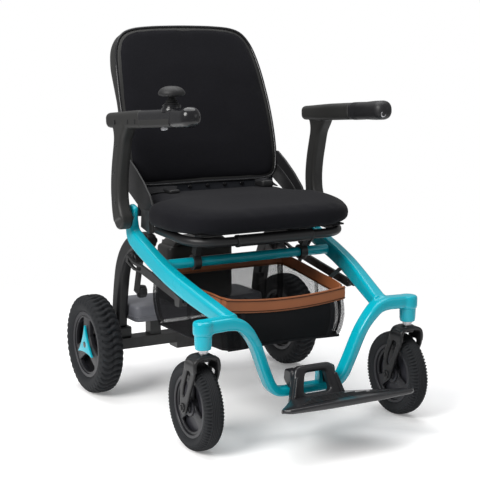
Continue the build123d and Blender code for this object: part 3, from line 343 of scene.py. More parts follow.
def add_piece(name, mesh, material, body, nodes=(), angle=40.0):
    """A mesh in the scene that rides on a body and may stand for CAD nodes."""
    mesh.materials.clear()
    mesh.materials.append(material)
    finish_mesh(mesh, angle)
    made = bpy.data.objects.new(name, mesh)
    scene.collection.objects.link(made)
    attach(made, body)
    if nodes:
        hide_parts(*nodes)
    return made


def mesh_of(verts, faces, name="shape"):
    """A mesh from points and faces."""
    mesh = bpy.data.meshes.new(name)
    mesh.from_pydata([tuple(v) for v in verts], [], [tuple(int(i) for i in f) for f in faces])
    mesh.update()
    return mesh


def skin_rings(rings, closed=False, caps=True):
    """Verts and faces of a skin through rings of equal count."""
    rings = np.asarray(rings, float)
    count, size = rings.shape[:2]
    verts = rings.reshape(-1, 3)
    faces = []
    last = count if closed else count - 1
    for i in range(last):
        a = i * size
        b = ((i + 1) % count) * size
        for j in range(size):
            k = (j + 1) % size
            faces.append((a + j, a + k, b + k, b + j))
    if caps and not closed:
        verts = np.vstack([verts, rings[0].mean(0), rings[-1].mean(0)])
        low, high = count * size, count * size + 1
        top = (count - 1) * size
        for j in range(size):
            k = (j + 1) % size
            faces.append((low, k, j))
            faces.append((high, top + j, top + k))
    return verts, faces


def outward(mesh):
    """The mesh with its faces turned outwards."""
    import bmesh

    work = bmesh.new()
    work.from_mesh(mesh)
    bmesh.ops.recalc_face_normals(work, faces=work.faces)
    work.to_mesh(mesh)
    work.free()
    return mesh


def skin(rings, closed=False, caps=True):
    """A mesh through rings, with its faces turned outwards."""
    return outward(mesh_of(*skin_rings(rings, closed, caps)))


def join(*meshes):
    """Several meshes as one."""
    verts, faces = [], []
    for mesh in meshes:
        start = len(verts)
        verts += [tuple(v.co) for v in mesh.vertices]
        faces += [tuple(start + i for i in p.vertices) for p in mesh.polygons]
    return mesh_of(verts, faces)


def turned_mesh(mesh, matrix):
    """The mesh after a transform."""
    mesh.transform(matrix)
    return mesh


def flipped(mesh):
    """The mirror image of a mesh, on the right of the chair."""
    copy = mesh.copy()
    copy.transform(Matrix.Scale(-1, 4, X))
    return outward(copy)


def smooth_line(points, count, closed=False):
    """Evenly spaced points on a smooth curve through the given ones."""
    p = np.asarray(points, float)
    if closed:
        p = np.vstack([p[-1], p, p[0], p[1]])
    else:
        p = np.vstack([2 * p[0] - p[1], p, 2 * p[-1] - p[-2]])
    fine = []
    steps = 24
    for a, b, c, d in zip(p, p[1:], p[2:], p[3:]):
        for i in range(steps):
            t = i / steps
            fine.append(
                0.5 * (2 * b + (c - a) * t + (2 * a - 5 * b + 4 * c - d) * t**2 + (3 * b - a - 3 * c + d) * t**3)
            )
    fine.append(p[-2])
    fine = np.array(fine)
    length = np.concatenate([[0], np.cumsum(np.linalg.norm(np.diff(fine, axis=0), axis=1))])
    at = np.linspace(0, length[-1], count + 1 if closed else count)
    out = np.column_stack([np.interp(at, length, fine[:, k]) for k in range(p.shape[1])])
    return out[:-1] if closed else out


def rounded_section(width, height, radius, steps=5):
    """Outline of a rounded rectangle as (u, v) pairs."""
    points = []
    for cx, cy, start in ((1, 1, 0), (-1, 1, 90), (-1, -1, 180), (1, -1, 270)):
        for i in range(steps + 1):
            a = math.radians(start + 90 * i / steps)
            points.append(
                (cx * (width / 2 - radius) + radius * math.cos(a), cy * (height / 2 - radius) + radius * math.sin(a))
            )
    return np.array(points)


def round_section(radius, steps=28):
    """Outline of a circle as (u, v) pairs."""
    a = np.linspace(0, 2 * math.pi, steps, endpoint=False)
    return np.column_stack([radius * np.cos(a), radius * np.sin(a)])


def sweep(path, side, section, dome=0.0, dome_end=None):
    """Rings of a section carried along a path. section is an outline, or a function of the share of
    the way that gives one. side is the direction that the section's u axis keeps to."""
    path = np.asarray(path, float)
    tangent = np.gradient(path, axis=0)
    tangent /= np.linalg.norm(tangent, axis=1)[:, None]
    rings = []
    count = len(path)
    for i, (p, t) in enumerate(zip(path, tangent)):
        outline = section(i / (count - 1)) if callable(section) else section
        s = np.array(side(i / (count - 1)) if callable(side) else side, float)
        u = s - t * s.dot(t)
        u /= np.linalg.norm(u)
        v = np.cross(t, u)
        rings.append(p + outline[:, :1] * u + outline[:, 1:] * v)
    ends = (dome, dome if dome_end is None else dome_end)
    steps = 5
    for end, depth in enumerate(ends):
        if not depth:
            continue
        ring = rings[-1] if end else rings[0]
        centre = ring.mean(0)
        way = tangent[-1] if end else -tangent[0]
        extra = []
        for k in range(1, steps + 1):
            a = math.pi / 2 * k / steps
            shrink = max(math.cos(a), 0.02)
            extra.append(centre + (ring - centre) * shrink + way * depth * math.sin(a))
        rings = rings + extra if end else extra[::-1] + rings
    return rings


def bar(path, side, section, dome=0.0, dome_end=None):
    """A solid bar along a path."""
    return skin(sweep(path, side, section, dome, dome_end))


def turning(profile, centre, axis, steps=64):
    """A solid turned about an axis through a centre. profile is (along, radius) pairs."""
    axis = Vector(axis).normalized()
    guide = Z if abs(axis.dot(Z)) < 0.9 else X
    u = axis.cross(guide).normalized()
    v = axis.cross(u)
    rings = []
    for along, radius in profile:
        ring = []
        for k in range(steps):
            a = 2 * math.pi * k / steps
            ring.append(Vector(centre) + axis * along + (u * math.cos(a) + v * math.sin(a)) * max(radius, 1e-5))
        rings.append([tuple(p) for p in ring])
    return skin(rings)


def rounded_rod(low, high, radius, edge, centre, axis, steps=48):
    """A round bar with rounded rims between two distances along its axis."""
    profile = []
    for k in range(5):
        a = math.pi / 2 * k / 4
        profile.append((low + edge * (1 - math.sin(a)), radius - edge * (1 - math.cos(a))))
    profile = profile[::-1]
    profile = [(low, radius - edge)] + sorted(profile) + []
    for k in range(5):
        a = math.pi / 2 * k / 4
        profile.append((high - edge * (1 - math.sin(a)), radius - edge * (1 - math.cos(a))))
    return turning(profile, centre, axis, steps)


def cut_plate(loops, thickness, bevel, origin, across, up):
    """A plate with a bevelled rim, from closed outlines in its own plane; later ones are holes."""
    across, up = Vector(across).normalized(), Vector(up).normalized()
    curve = bpy.data.curves.new("plate", "CURVE")
    curve.dimensions = "2D"
    curve.fill_mode = "BOTH"
    curve.extrude = thickness / 2 - bevel
    curve.bevel_depth = bevel
    curve.offset = -bevel
    curve.bevel_resolution = 2
    for loop in loops:
        spline = curve.splines.new("POLY")
        spline.points.add(len(loop) - 1)
        for point, (u, v) in zip(spline.points, loop):
            point.co = (u, v, 0, 1)
        spline.use_cyclic_u = True
    holder = bpy.data.objects.new("plate", curve)
    scene.collection.objects.link(holder)
    mesh = bpy.data.meshes.new_from_object(holder)
    bpy.data.objects.remove(holder)
    normal = across.cross(up)
    matrix = Matrix((across, up, normal)).transposed().to_4x4()
    matrix.translation = Vector(origin)
    mesh.transform(matrix)
    return clean(mesh)


def clean(mesh):
    """The mesh with its doubled points welded."""
    import bmesh

    work = bmesh.new()
    work.from_mesh(mesh)
    bmesh.ops.remove_doubles(work, verts=work.verts, dist=0.00002)
    bmesh.ops.recalc_face_normals(work, faces=work.faces)
    work.to_mesh(mesh)
    work.free()
    return mesh


def rounded_loop(points, radius, steps=6):
    """A closed outline with its corners rounded. radius is one number or one for each corner."""
    p = np.asarray(points, float)
    count = len(p)
    radii = [radius] * count if isinstance(radius, (int, float)) else radius
    out = []
    for i in range(count):
        before, here, after = p[i - 1], p[i], p[(i + 1) % count]
        a = (before - here) / np.linalg.norm(before - here)
        b = (after - here) / np.linalg.norm(after - here)
        half = math.acos(max(-1, min(1, float(a.dot(b))))) / 2
        reach = min(
            radii[i] / math.tan(half), 0.49 * np.linalg.norm(before - here), 0.49 * np.linalg.norm(after - here)
        )
        start, end = here + a * reach, here + b * reach
        for k in range(steps + 1):
            t = k / steps
            out.append((1 - t) ** 2 * start + 2 * t * (1 - t) * here + t**2 * end)
    return out


def applied(mesh, *modifiers):
    """The mesh after modifiers, each given as (kind, settings)."""
    holder = bpy.data.objects.new("work", mesh)
    scene.collection.objects.link(holder)
    for kind, settings in modifiers:
        modifier = holder.modifiers.new(kind.lower(), kind)
        for key, value in settings.items():
            setattr(modifier, key, value)
    graph = bpy.context.evaluated_depsgraph_get()
    made = bpy.data.meshes.new_from_object(holder.evaluated_get(graph))
    bpy.data.objects.remove(holder)
    return made


def welded(mesh, voxel, relax):
    """Overlapping solids fused into one skin, with a soft fillet where they meet."""
    return applied(
        mesh,
        ("REMESH", {"mode": "VOXEL", "voxel_size": voxel, "adaptivity": 0.0}),
        ("SMOOTH", {"factor": 0.5, "iterations": relax}),
    )


def softened(mesh, levels=1):
    """The mesh after Catmull-Clark subdivision."""
    return applied(mesh, ("SUBSURF", {"levels": levels, "render_levels": levels}))


# ------------------------------------------------------------------ teal front frame
HOOP_HALF = [
    (0.270, -0.250, 0.2810),
    (0.240, -0.251, 0.2825),
    (0.208, -0.251, 0.2830),
    (0.184, -0.252, 0.2770),
    (0.166, -0.252, 0.2620),
    (0.152, -0.250, 0.2440),
    (0.140, -0.248, 0.2240),
    (0.128, -0.245, 0.1960),
    (0.117, -0.243, 0.1690),
    (0.107, -0.241, 0.1460),
    (0.098, -0.240, 0.1280),
    (0.085, -0.240, 0.1140),
    (0.066, -0.240, 0.1085),
    (0.033, -0.240, 0.1080),
    (0.000, -0.240, 0.1080),
]
TUBE_HALF = [
    (0.2440, 0.151, 0.4900),
    (0.2435, 0.161, 0.4560),
    (0.2425, 0.156, 0.4240),
    (0.2410, 0.125, 0.4050),
    (0.240, 0.060, 0.3810),
    (0.239, 0.000, 0.3610),
    (0.234, -0.060, 0.3410),
    (0.224, -0.120, 0.3210),
    (0.212, -0.180, 0.3020),
    (0.203, -0.225, 0.2880),
    (0.198, -0.246, 0.2840),
]


def hoop_section(share):
    """The hoop is tall and deep at its arms, slim in its legs and foot bar."""
    out = abs(2 * share - 1)
    arm = min(1, max(0, (out - 0.62) / 0.2))
    low = min(1, max(0, (0.3 - out) / 0.1))
    thick = 0.0225 + 0.0065 * arm
    deep = 0.036 + 0.003 * arm - 0.006 * low
    return rounded_section(deep, thick, 0.0075, 6)


def side_tube_section(share):
    """A side tube is a tall box with rounded edges that flattens towards the hoop."""
    front = min(1, max(0, (share - 0.7) / 0.3))
    top = max(0, 1 - share / 0.16)
    return rounded_section(0.029 + 0.005 * front - 0.013 * top, 0.042 - 0.010 * front - 0.012 * top, 0.0078, 6)


def teal_frame():
    """Hoop, side tubes and caps fused into one painted frame."""
    hoop = HOOP_HALF + [(-x, y, z) for x, y, z in HOOP_HALF[-2::-1]]
    parts = [bar(smooth_line(hoop, 200), Y, hoop_section)]
    for _, side in SIDES:
        tube = smooth_line(mirrored(TUBE_HALF, side), 110)
        parts.append(bar(tube, X, side_tube_section, 0.006, 0.0))
        parts.append(rounded_rod(-0.0175, 0.0150, 0.0225, 0.006, (side * 0.272, -0.253, 0.2810), Z))
    shell = welded(join(*parts), 0.0021, 9)
    nodes = ["side_tubes", "caster_arms", "hoop_legs", "foot_bar"]
    add_piece("front_frame_shell", shell, TEAL, "front_frame", nodes, 60)


def caster_barrels():
    """Bearing housings under the caps, with a ring at the joint."""
    profile = [
        (0.2340, 0.0150), (0.2342, 0.0168), (0.2350, 0.0176), (0.2400, 0.0180), (0.2405, 0.0186),
        (0.2600, 0.0192), (0.2640, 0.0194), (0.2700, 0.0194),
    ]
    meshes = [turning(profile, (side * 0.272, -0.253, 0), Z) for _, side in SIDES]
    add_piece("caster_barrel_sleeves", join(*meshes), TEAL, "front_frame", ["caster_barrels"])


# ------------------------------------------------------------------ tyres
def tyre_mesh(centre, half_section, around, across, relief):
    """A closed tyre about the X axis. half_section is (x, radius) from the tread's middle to the bead.
    relief gives how far the surface sinks, from x, radius and angle."""
    half = np.array(half_section, float)
    whole = np.vstack([half[::-1] * (-1, 1), half[1:]])
    low = half[-1]
    inside = [(low[0] * k, low[1] - 0.001) for k in (0.6, 0.0, -0.6)]
    line = smooth_line(np.vstack([whole, inside]), across, closed=True)
    angle = np.linspace(0, 2 * math.pi, around, endpoint=False)
    a, x = np.meshgrid(angle, line[:, 0], indexing="ij")
    r = np.broadcast_to(line[:, 1], x.shape) - relief(x, np.broadcast_to(line[:, 1], x.shape), a)
    rings = np.stack([centre[0] + x, centre[1] + r * np.cos(a), centre[2] + r * np.sin(a)], axis=-1)
    return skin(rings, closed=True)


def pulse(phase, share, soft):
    """1 in the open share of each turn of the phase and 0 on the blocks, with soft walls."""
    place = np.abs((phase % 1.0) - 0.5)
    return np.clip((place - (0.5 - share / 2)) / soft + 0.5, 0, 1)


def ramp(value, low, high):
    """0 below low, 1 above high and smooth between."""
    t = np.clip((value - low) / (high - low), 0, 1)
    return t * t * (3 - 2 * t)


def drive_relief(x, r, a):
    """Wavy blocks across the tread, with knobs between them on the shoulders."""
    blocks = 44
    turns = a / (2 * math.pi) * blocks
    wave = 0.34 * np.sin(x / 0.0085)
    tread = ramp(r, 0.1165, 0.1200)
    shoulder = ramp(r, 0.1050, 0.1090) * (1 - tread)
    middle = np.exp(-((x / 0.0022) ** 2))
    return tread * (0.0056 * pulse(turns + wave, 0.44, 0.16) + 0.0018 * middle) + shoulder * 0.0040 * pulse(
        turns + 0.34 * np.sign(x), 0.46, 0.2
    )


def caster_relief(x, r, a):
    """Fine ribs round the middle and close notches on the shoulders."""
    notches = 76
    turns = a / (2 * math.pi) * notches
    wide = np.abs(x)
    middle = 1 - ramp(wide, 0.0090, 0.0102)
    shoulder = ramp(wide, 0.0100, 0.0118) * ramp(r, 0.0850, 0.0885)
    ribs = 0.0017 * ramp(np.cos(x / 0.0021 * math.pi), 0.0, 0.8)
    return middle * ribs + shoulder * 0.0042 * pulse(turns, 0.48, 0.18)


DRIVE_SECTION = [
    (0.000, 0.1250), (0.008, 0.1248), (0.016, 0.1238), (0.022, 0.1218), (0.0265, 0.1180), (0.0295, 0.1120),
    (0.0310, 0.1030), (0.0300, 0.0950), (0.0270, 0.0885), (0.0235, 0.0845), (0.0190, 0.0830),
]
CASTER_SECTION = [
    (0.000, 0.1000), (0.006, 0.0998), (0.012, 0.0988), (0.017, 0.0965), (0.0205, 0.0930), (0.0226, 0.0880),
    (0.0228, 0.0820), (0.0212, 0.0760), (0.0180, 0.0712), (0.0140, 0.0695),
]
DRIVE_HUB = (0.285, 0.310, 0.125)
CASTER_HUB = (0.272, -0.217, 0.100)


def tyres():
    """The four tyres."""
    for label, side in SIDES:
        hub = (side * DRIVE_HUB[0], *DRIVE_HUB[1:])
        shape = tyre_mesh(hub, DRIVE_SECTION, 396, 64, drive_relief)
        add_piece(f"drive_tread_{label}", shape, RUBBER, f"drive_wheel_{label}", [f"drive_tyre_{label}"], 50)
        hub = (side * CASTER_HUB[0], *CASTER_HUB[1:])
        shape = tyre_mesh(hub, CASTER_SECTION, 504, 64, caster_relief)
        add_piece(f"caster_tread_{label}", shape, RUBBER, f"caster_wheel_{label}", [f"caster_tyre_{label}"], 50)


# ------------------------------------------------------------------ rims
def polar(radius, degrees):
    """A point of a plane from its radius and angle."""
    a = math.radians(degrees)
    return radius * math.cos(a), radius * math.sin(a)


def disc_loop(radius, steps=96):
    """A circle as a closed outline."""
    return [polar(radius, 360 * k / steps) for k in range(steps)]


def pocket_loop(middle_angle, inner, outer, inner_half, outer_half, radius):
    """A pocket between two spokes, with an arc at its outer end and rounded corners."""
    arc = [polar(outer, middle_angle + outer_half * (1 - 2 * k / 8)) for k in range(9)]
    foot = [polar(inner, middle_angle - inner_half), polar(inner, middle_angle + inner_half)]
    radii = [radius] + [0.0005] * 7 + [radius] + [radius] * 2
    return rounded_loop(arc + foot, radii)


def wheel_side(hub, outer, face, thickness, pockets):
    """One pierced face of a rim, at x = face from the hub and looking outwards."""
    origin = Vector(hub) + X * face
    return cut_plate([disc_loop(outer)] + pockets, thickness, min(0.0022, thickness / 3), origin, Y, Z)


def rim_barrel(hub, outer, half, wall):
    """The barrel of a rim with its two lips."""
    profile = [
        (-half, outer - wall), (-half - 0.0012, outer - wall + 0.001), (-half - 0.0012, outer + 0.0012),
        (-half + 0.001, outer + 0.002), (-half + 0.004, outer), (half - 0.004, outer), (half - 0.001, outer + 0.002),
        (half + 0.0012, outer + 0.0012), (half + 0.0012, outer - wall + 0.001), (half, outer - wall),
    ]
    steps = 128
    rings = []
    for k in range(steps):
        a = 2 * math.pi * k / steps
        rings.append([(hub[0] + x, hub[1] + r * math.cos(a), hub[2] + r * math.sin(a)) for x, r in profile])
    return skin(rings, closed=True)


def drive_rims():
    """Three-spoke rims with a deep barrel, a hub and a teal star."""
    for label, side in SIDES:
        hub = (side * DRIVE_HUB[0], *DRIVE_HUB[1:])
        pockets = [pocket_loop(30 + 120 * k, 0.030, 0.0700, 24, 44, 0.009) for k in range(3)]
        parts = [
            rim_barrel(hub, 0.0822, 0.0225, 0.0075),
            wheel_side(hub, 0.0770, side * 0.0150, 0.0120, pockets),
            wheel_side(hub, 0.0770, -side * 0.0120, 0.0080, pockets),
            rounded_rod(-0.0225, 0.0235, 0.0240, 0.003, hub, X),
        ]
        add_piece(f"drive_rim_body_{label}", join(*parts), RIM, f"drive_wheel_{label}", [f"drive_rim_{label}"], 35)
        back = [disc_loop(0.0765)]
        web = cut_plate(back, 0.003, 0.001, Vector(hub) - X * side * 0.002, Y, Z)
        add_piece(f"drive_rim_web_{label}", web, BLACK_PAINT, f"drive_wheel_{label}")
        b = 0.0172
        deltoid = []
        for k in range(90):
            t = 2 * math.pi * k / 90
            u = 2 * b * math.cos(t) + 0.86 * b * math.cos(2 * t)
            v = 2 * b * math.sin(t) - 0.86 * b * math.sin(2 * t)
            deltoid.append((-v, u))
        star = cut_plate([deltoid, disc_loop(0.0075, 32)], 0.006, 0.0012, Vector(hub) + X * side * 0.0250, Y, Z)
        add_piece(f"hub_star_{label}", star, TEAL, f"drive_wheel_{label}")
        cap = rounded_rod(0.0, 0.0285, 0.0085, 0.002, hub, X * side)
        add_piece(f"hub_cap_{label}", cap, GLOSS, f"drive_wheel_{label}")


def caster_rims():
    """Caster rims with three broad spokes each side of a web."""
    for label, side in SIDES:
        hub = (side * CASTER_HUB[0], *CASTER_HUB[1:])
        pockets = [pocket_loop(30 + 120 * k, 0.026, 0.0560, 34, 46, 0.0055) for k in range(3)]
        parts = [
            rim_barrel(hub, 0.0690, 0.0165, 0.0060),
            wheel_side(hub, 0.0650, 0.0105, 0.0070, pockets),
            wheel_side(hub, 0.0650, -0.0105, 0.0070, pockets),
            rounded_rod(-0.0235, 0.0235, 0.0150, 0.002, hub, X),
            rounded_rod(-0.0180, 0.0180, 0.0220, 0.002, hub, X),
            rounded_rod(-0.0030, 0.0030, 0.0660, 0.001, hub, X, 72),
        ]
        for k in range(3):
            line = [Vector((hub[0], hub[1] + u, hub[2] + v)) for u, v in (polar(0.018, 90 + 120 * k), polar(0.062, 90 + 120 * k))]
            parts.append(bar(line, X, lambda t: rounded_section(0.030 - 0.006 * t, 0.007 + 0.006 * t, 0.002)))
        add_piece(f"caster_rim_body_{label}", join(*parts), RIM, f"caster_wheel_{label}", [f"caster_rim_{label}"], 35)


# ------------------------------------------------------------------ forks
FORK_SIDE = [
    (-0.275, 0.196), (-0.272, 0.214), (-0.250, 0.2165), (-0.229, 0.211), (-0.222, 0.190), (-0.206, 0.150),
    (-0.2025, 0.104), (-0.2065, 0.0865), (-0.217, 0.0830), (-0.2290, 0.0880), (-0.2345, 0.104), (-0.250, 0.140),
    (-0.2690, 0.176),
]
FORK_SLOT = [(-0.2560, 0.186), (-0.2400, 0.190), (-0.2215, 0.150), (-0.2160, 0.128), (-0.2240, 0.124), (-0.2420, 0.152)]


def forks():
    """Cast forks with a rounded crown and slotted cheeks, a plated stem and axle bolts."""
    for label, side in SIDES:
        outline = rounded_loop(FORK_SIDE, 0.012)
        slot_line = rounded_loop(FORK_SLOT, 0.006)
        parts = []
        for cheek in (-1, 1):
            origin = Vector((side * 0.272 + cheek * 0.0292, 0, 0))
            parts.append(cut_plate([outline, slot_line], 0.0062, 0.0015, origin, Y, Z))
        over = [(-0.0290, -0.251, 0.188), (-0.0285, -0.251, 0.206), (-0.0200, -0.251, 0.2160), (0.0, -0.251, 0.2185)]
        over = over + [(-x, y, z) for x, y, z in over[-2::-1]]
        path = smooth_line([(side * 0.272 + x, y, z) for x, y, z in over], 40)
        parts.append(bar(path, Y, rounded_section(0.046, 0.0085, 0.0035)))
        parts.append(rounded_rod(-0.004, 0.012, 0.0170, 0.003, (side * 0.272, -0.253, 0.2120), Z))
        shape = welded(join(*parts), 0.0016, 3)
        add_piece(f"fork_casting_{label}", shape, BLACK_PAINT, f"caster_{label}", [f"caster_fork_{label}"], 45)
        profile = [(0.2235, 0.0080), (0.2240, 0.0095), (0.2290, 0.0095), (0.2295, 0.0118), (0.2335, 0.0118), (0.2338, 0.0080)]
        stem = turning(profile, (side * 0.272, -0.253, 0), Z)
        add_piece(f"fork_stem_{label}", stem, STEEL, f"caster_{label}")
        bolts = []
        for cheek in (-1, 1):
            start = (side * 0.272 + cheek * 0.0315, -0.217, 0.100)
            bolts.append(turning([(0, 0.0098), (0.0008, 0.0105), (0.0034, 0.0105), (0.0042, 0.0096)], start, X * cheek, 6))
            bolts.append(rounded_rod(0.0, 0.0070, 0.0058, 0.001, start, X * cheek, 24))
        add_piece(f"fork_bolts_{label}", join(*bolts), BLACK_PAINT, f"caster_{label}", angle=30)


# ------------------------------------------------------------------ upholstery
def pillow(outline, profile, centre, place):
    """A closed pad: an outline carried through (share, depth) steps and put in its place."""
    rings = []
    cx, cy = centre
    for share, depth in profile:
        rings.append([place(cx + (u - cx) * share, cy + (v - cy) * share, depth, share) for u, v in outline])
    return skin(rings)


def puffed(mesh, voxel, pressure, limit):
    """The pad after its filling has pushed its cover out: a cloth simulation that ends in plain mesh."""
    shape = applied(mesh, ("REMESH", {"mode": "VOXEL", "voxel_size": voxel, "adaptivity": 0.0}))
    holder = bpy.data.objects.new("pad", shape)
    scene.collection.objects.link(holder)
    cloth = holder.modifiers.new("cloth", "CLOTH")
    cloth.settings.quality = 5
    cloth.settings.mass = 0.3
    cloth.settings.use_pressure = True
    cloth.settings.uniform_pressure_force = pressure
    cloth.settings.effector_weights.gravity = 0
    cloth.point_cache.frame_start = 1
    cloth.point_cache.frame_end = 20
    for step in range(1, 21):
        scene.frame_set(step)
    graph = bpy.context.evaluated_depsgraph_get()
    swollen = holder.evaluated_get(graph).to_mesh()
    start = np.array([v.co for v in shape.vertices])
    end = np.array([v.co for v in swollen.vertices])
    move = end - start
    length = np.linalg.norm(move, axis=1)
    move *= (np.minimum(length, limit) / np.maximum(length, 1e-9))[:, None]
    holder.evaluated_get(graph).to_mesh_clear()
    bpy.data.objects.remove(holder)
    shape.vertices.foreach_set("co", (start + move).ravel())
    shape.update()
    scene.frame_set(1)
    return applied(shape, ("SMOOTH", {"factor": 0.5, "iterations": 4}), ("SUBSURF", {"levels": 1, "render_levels": 1}))


CUSHION_HALF = [
    (0.000, 0.229), (0.120, 0.230), (0.184, 0.228), (0.194, 0.210), (0.196, 0.132), (0.206, 0.103), (0.234, 0.090),
    (0.2500, 0.064), (0.2520, 0.020), (0.2495, -0.018), (0.240, -0.048), (0.216, -0.092), (0.178, -0.119), (0.120, -0.131),
    (0.060, -0.134), (0.000, -0.135),
]
CUSHION_LOW = 0.4530
CUSHION_RIM = 0.4780
CUSHION_TOP = 0.5120


def cushion():
    """Knitted seat cushion: crowned, with its front edge rolled down over the seat tube."""
    half = CUSHION_HALF
    outline = smooth_line(half + [(-x, y) for x, y in half[-2:0:-1]], 220, closed=True)
    profile = [
        (0.02, CUSHION_LOW), (0.5, CUSHION_LOW), (0.88, CUSHION_LOW + 0.0005), (0.96, CUSHION_LOW + 0.003),
        (0.988, CUSHION_LOW + 0.010), (0.997, CUSHION_RIM - 0.006), (0.999, CUSHION_RIM + 0.006),
        (0.990, CUSHION_RIM + 0.0165), (0.966, CUSHION_RIM + 0.0240), (0.91, CUSHION_RIM + 0.0290),
        (0.78, CUSHION_RIM + 0.0325), (0.45, CUSHION_TOP), (0.02, CUSHION_TOP + 0.001),
    ]

    def place(x, y, depth, share):
        roll = float(ramp(-y, -0.08, 0.135))
        droop = 0.012 * roll
        return x, y, depth - droop * (depth - CUSHION_LOW) / (CUSHION_TOP - CUSHION_LOW)

    shape = puffed(pillow(outline, profile, (0, 0.05), place), 0.005, 4.0, 0.0045)
    piece = add_piece("seat_cushion_cover", shape, KNIT_CLOTH, "front_frame", ["seat_cushion"], 180)


BACK_ANGLE = math.radians(17.0)
BACK_FOOT_Z = 0.531


def back_point(x, w, n):
    """A point of the backrest: x across, w up its face, n out of its face towards the sitter."""
    bend = -0.006 * math.sin(math.pi * min(1, w / 0.24)) + 0.020 * float(ramp(w, 0.20, 0.40)) ** 1.5
    y = 0.232 + w * math.sin(BACK_ANGLE) + bend - n * math.cos(BACK_ANGLE)
    z = BACK_FOOT_Z + w * math.cos(BACK_ANGLE) + n * math.sin(BACK_ANGLE)
    return x, y, z


BACK_HALF_LINE = [
    (0.000, 0.000), (0.110, -0.001), (0.172, 0.001), (0.196, 0.012), (0.2065, 0.040), (0.2105, 0.090), (0.2115, 0.150),
    (0.2100, 0.210), (0.2060, 0.268), (0.2000, 0.318), (0.1900, 0.355), (0.1700, 0.383), (0.1380, 0.396),
    (0.090, 0.401), (0.045, 0.4025), (0.000, 0.403),
]


def backrest():
    """Backrest: a knitted pad in a welt, on a shell that is deeper at the head."""
    half = BACK_HALF_LINE
    outline = smooth_line(half + [(-x, w) for x, w in half[-2:0:-1]], 240, closed=True)
    profile = [
        (0.02, -0.020), (0.60, -0.020), (0.95, -0.020), (0.985, -0.017), (0.990, -0.006), (0.985, -0.0015),
        (0.965, 0.0015), (0.92, 0.0035), (0.80, 0.0050), (0.50, 0.0056), (0.02, 0.0060),
    ]
    shape = puffed(pillow(outline, profile, (0, 0.2), lambda x, w, n, s: back_point(x, w, n)), 0.005, 4.0, 0.003)
    pad = add_piece("back_pad_cover", shape, KNIT_CLOTH, "backrest", ["back_pad"], 180)

    def deep(w):
        return 0.028 + 0.026 * float(ramp(w, 0.20, 0.32))

    rings = []
    for share, depth in (
        (0.90, -0.10), (0.985, -0.06), (1.003, 0.02), (1.012, 0.20), (1.016, 0.45), (1.010, 0.70), (0.985, 0.88),
        (0.94, 0.97), (0.85, 1.0), (0.55, 1.02), (0.02, 1.03),
    ):
        rings.append([back_point(x * share, 0.2 + (w - 0.2) * share, -depth * deep(w) - 0.002) for x, w in outline])
    shell = softened(skin(rings))
    add_piece("back_shell", shell, ARM_SKIN, "backrest", ["back_frame"], 60)
    welt = [back_point(x * 1.006, 0.2 + (w - 0.2) * 1.006, -0.001) for x, w in outline]
    normal = (0, -math.cos(BACK_ANGLE), math.sin(BACK_ANGLE))
    rings = sweep_loop(welt, normal, round_section(0.0032, 12))
    add_piece("back_welt", skin(rings, closed=True), GLOSS, "backrest", angle=180)


def sweep_loop(points, side, section):
    """Rings of a section carried round a closed line."""
    p = np.asarray(points, float)
    tangent = np.roll(p, -1, axis=0) - np.roll(p, 1, axis=0)
    tangent /= np.linalg.norm(tangent, axis=1)[:, None]
    s = np.array(side, float)
    rings = []
    for here, t in zip(p, tangent):
        u = s - t * s.dot(t)
        u /= np.linalg.norm(u)
        v = np.cross(t, u)
        rings.append(here + section[:, :1] * u + section[:, 1:] * v)
    return rings


# ------------------------------------------------------------------ armrests
ARM_TOE = math.radians(3.6)
ARM_RISE = math.radians(4.3)
ARM_WAY = Vector((-math.sin(ARM_TOE), -math.cos(ARM_TOE) * math.cos(ARM_RISE), math.sin(ARM_RISE)))
ARM_START = Vector((0.2763, 0.203, 0.6958))
ARM_END = 0.388
POD_START = 0.174
CAP_START = 0.248
STICK_AT = 0.290


def arm_at(distance, side, up=0.0, out=0.0):
    """A point of an armrest at a distance from its rear end."""
    p = ARM_START + ARM_WAY * distance + Z * up + X * out
    return side * p.x, p.y, p.z


def arm_stretch(side, start, end, section, dome, dome_end, count=40):
    """A stretch of armrest whose section is a function of the distance."""
    line = [arm_at(start + (end - start) * k / (count - 1), side) for k in range(count)]
    across = (side * math.cos(ARM_TOE), -math.sin(ARM_TOE), 0)
    return bar(line, across, lambda t: section(start + (end - start) * t), dome, dome_end)


def pad_section(d):
    """Section of the pad: flatter at its rear."""
    grow = float(ramp(d, 0.0, 0.16))
    return rounded_section(0.041 + 0.004 * grow, 0.036 + 0.0055 * grow, 0.0120, 7)


def nose_section(d):
    """Section that swells from the pad into the bulbous nose."""
    swell = float(ramp(d, 0.300, 0.352))
    return rounded_section(0.0455 + 0.0015 * swell, 0.0415 + 0.0035 * swell, 0.0135 + 0.006 * swell, 7)


POST_LINE = [
    (0.150, 0.464), (0.160, 0.492), (0.1645, 0.525), (0.1635, 0.556), (0.158, 0.590), (0.150, 0.622), (0.143, 0.650),
    (0.138, 0.676), (0.136, 0.695),
]


def post_section(t):
    """The post is wide at its pivot and flares into the pad."""
    foot = 1 - float(ramp(t, 0.0, 0.22))
    top = float(ramp(t, 0.74, 1.0))
    return rounded_section(0.0335, 0.044 + 0.007 * foot + 0.036 * top**2, 0.0100, 6)


